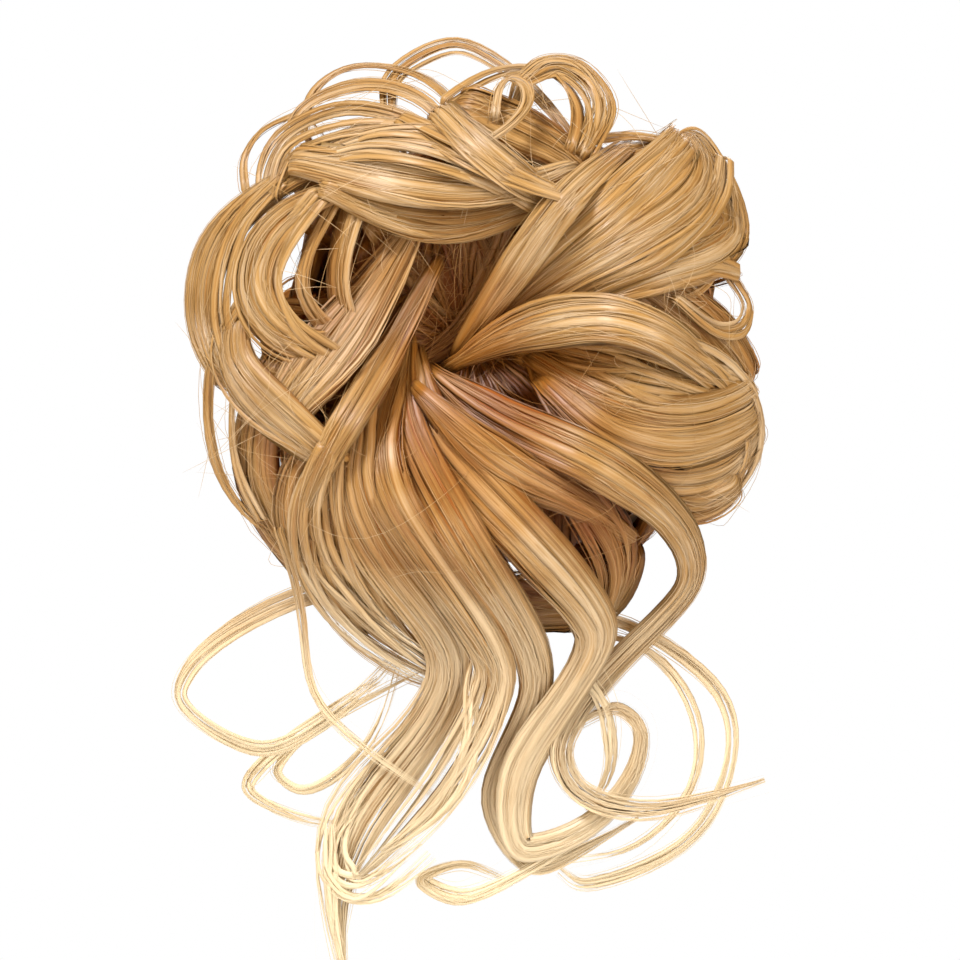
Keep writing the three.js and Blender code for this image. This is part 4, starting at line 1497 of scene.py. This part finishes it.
def knit_finish(name, dark, light):
    """Fine knitted or twisted yarn, with painted shade between its threads and painted light on them."""
    material = bpy.data.materials.new(name)
    material.use_nodes = True
    tree = material.node_tree
    tree.nodes.clear()
    place = node(tree, "ShaderNodeTexCoord").outputs["Object"]
    knit = node(tree, "ShaderNodeTexNoise", {"Vector": place, "Scale": 900.0, "Detail": 2.0})
    # painted shade and light: the colour follows the bump noise, dark where the yarn is low and light where
    # it is high
    cover = node(
        tree, "ShaderNodeMix", {0: knit.outputs["Fac"], 6: (*dark, 1), 7: (*light, 1)}, data_type="RGBA"
    )
    bumps = node(tree, "ShaderNodeBump", {"Height": knit.outputs["Fac"], "Strength": 0.5, "Distance": 0.0003})
    surface = node(
        tree, "ShaderNodeBsdfPrincipled",
        {"Base Color": cover.outputs[2], "Roughness": 0.8, "Normal": bumps.outputs[0], "Sheen Weight": 0.3},
    )
    node(tree, "ShaderNodeOutputMaterial", {"Surface": surface.outputs[0]})
    return material


strand_shade = strand_shade_group()
painted_shade_tint = (0.82, 0.57, 0.29)  # painted shade: the colour that hair deep inside the bun is multiplied by, for the shade of the hair over it
hair = hair_finish(
    "false_hair", shade=(0.33, 0.132, 0.024), body=(0.51, 0.3, 0.1), light=(0.7, 0.54, 0.345),
    tip=(0.94, 0.8, 0.55), roughness=0.42, gloss=0.6, satin=0.85, streak_strength=1.1, patch_strength=0.5,
    smoothing=0.45, groove_depth=0.3,
)
# painted shade: a redder copy of the hair, for the cores under the bands and strands, which show in their
# gaps
hair_in_shade = hair_finish(
    "false_hair_in_shade", shade=(0.38, 0.135, 0.02), body=(0.6, 0.31, 0.088), light=(0.72, 0.46, 0.2),
    tip=(0.88, 0.72, 0.48), roughness=0.52, gloss=0.35, satin=0.5, streak_strength=1.4, patch_strength=0.3,
    smoothing=0.0, groove_depth=0.5,
)
# painted shade: a darker copy of the hair, for the mass core under all the strands
hair_in_deep_shade = hair_finish(
    "false_hair_in_deep_shade", shade=(0.26, 0.085, 0.013), body=(0.46, 0.215, 0.058), light=(0.58, 0.345, 0.13),
    tip=(0.88, 0.72, 0.48), roughness=0.6, gloss=0.3, satin=0.0, streak_strength=1.6, patch_strength=0.3,
    smoothing=0.0, groove_depth=0.6,
)
tie_cloth = knit_finish("tie_cloth", (0.13, 0.062, 0.02), (0.42, 0.24, 0.1))
thread = knit_finish("sewing_thread", (0.4, 0.26, 0.12), (0.72, 0.55, 0.33))

random_source = np.random.default_rng(seed)
ruched_tie()
sewn_weft(random_source)

strands = Strands()
for count, swirl, wide in ((150, 1.1, 2.6 * MM), (60, -0.6, 1.6 * MM)):
    mass_strands(strands, random_source, count, swirl, wide, band_thickness, band_sides)
for count, swirl in ((170, 0.8), (90, -0.9)):
    mass_strands(strands, random_source, count, swirl, strand_thickness, strand_thickness, strand_sides)
hair_piece(strands, "hair_mass_strands", ["hair_mass"])
core_piece = bpy.data.objects.new("hair_mass_core", mass_core())
bpy.context.scene.collection.objects.link(core_piece)
core_piece.data.materials.append(hair_in_deep_shade)
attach(core_piece, "root")

for i in range(back_curl_count):
    strands = Strands()
    fill_lock(strands, back_curl_lock(2 * math.pi * i / back_curl_count), random_source, density=0.65)
    hair_piece(strands, f"back_curl_{i + 1}_strands", [f"back_curl_{i + 1}"])

for name, rows in curls.items():
    strands = Strands()
    for row in rows:
        lock = curl_lock(row)
        tone = painted_shade_per_layer * np.mean(row["lift"]) - in_shade.get(name, 0)
        if name in open_curls:
            fill_open_lock(strands, lock, random_source, open_curls[name])
        else:
            fill_lock(strands, lock, random_source, tone, density=half_hidden.get(name, 1.0))
    hair_piece(strands, f"{name}_strands", [name])

strands = Strands()
for name, row in wisps.items():
    if row.get("closed"):
        fill_lock(strands, curl_lock(row), random_source, -in_shade[name])
    else:
        tone = row.get("tone", 0.04)
        fill_open_lock(strands, curl_lock(row), random_source, row["bundles"], tone, openness=1.05, strays=1)
hair_piece(strands, "fine_wisps")
stray_hairs(random_source)
hollow_hairs(random_source)

# The camera is level, far off and on the photograph's frame
frame_width = 282 * MM
frame_middle = Vector((3.5 * MM, -35 * MM, -39.7 * MM))
camera_distance = 2.0
camera = bpy.data.objects.new("camera", bpy.data.cameras.new("camera"))
camera.data.sensor_width = 36
camera.data.lens = camera.data.sensor_width * camera_distance / frame_width
camera.data.clip_end = 10
camera.location = frame_middle - Vector((0, camera_distance, 0))
camera.rotation_euler = (math.radians(90), 0, 0)
bpy.context.scene.collection.objects.link(camera)
bpy.context.scene.camera = camera

floor_mesh = bpy.data.meshes.new("floor")
floor_shape = bmesh.new()
bmesh.ops.create_circle(floor_shape, cap_ends=True, segments=64, radius=0.8)
floor_shape.to_mesh(floor_mesh)
floor_shape.free()
floor = bpy.data.objects.new("floor", floor_mesh)
floor.location.z = cad_box[0].z - 0.06
bpy.context.scene.collection.objects.link(floor)
pale = bpy.data.materials.new("pale_floor")
pale.use_nodes = True
pale.node_tree.nodes["Principled BSDF"].inputs["Base Color"].default_value = (0.82, 0.85, 0.89, 1)
pale.node_tree.nodes["Principled BSDF"].inputs["Roughness"].default_value = 0.9
floor.data.materials.append(pale)


def soft_light(name, place, size, power, colour=(1, 1, 1), target=(0, -0.035, -0.03)):
    light = bpy.data.lights.new(name, "AREA")
    light.shape = "DISK"
    light.size = size
    light.energy = power
    light.color = colour
    lamp = bpy.data.objects.new(name, light)
    lamp.location = place
    lamp.rotation_euler = (Vector(target) - Vector(place)).to_track_quat("-Z", "Y").to_euler()
    bpy.context.scene.collection.objects.link(lamp)


soft_light("key_light", (-0.6, -1.05, 1.15), 0.4, 24, (0.95, 0.96, 1))
soft_light("fill_light", (0.9, -1.1, 0.1), 0.8, 6)
soft_light("back_light", (0.3, 1.0, 0.8), 0.8, 8)

world = bpy.data.worlds.new("white_room")
world.use_nodes = True
bpy.context.scene.world = world
background = world.node_tree.nodes["Background"]
background.inputs["Strength"].default_value = 1.0
light_path = node(world.node_tree, "ShaderNodeLightPath").outputs
room_light = mixed(world.node_tree, light_path["Is Glossy Ray"], (0.81, 0.62, 0.4, 1), (0.22, 0.16, 0.09, 1))
room_colour = mixed(world.node_tree, light_path["Is Camera Ray"], room_light, (1, 1, 1, 1))
world.node_tree.links.new(room_colour, background.inputs["Color"])
bpy.context.scene.view_settings.view_transform = "Standard"
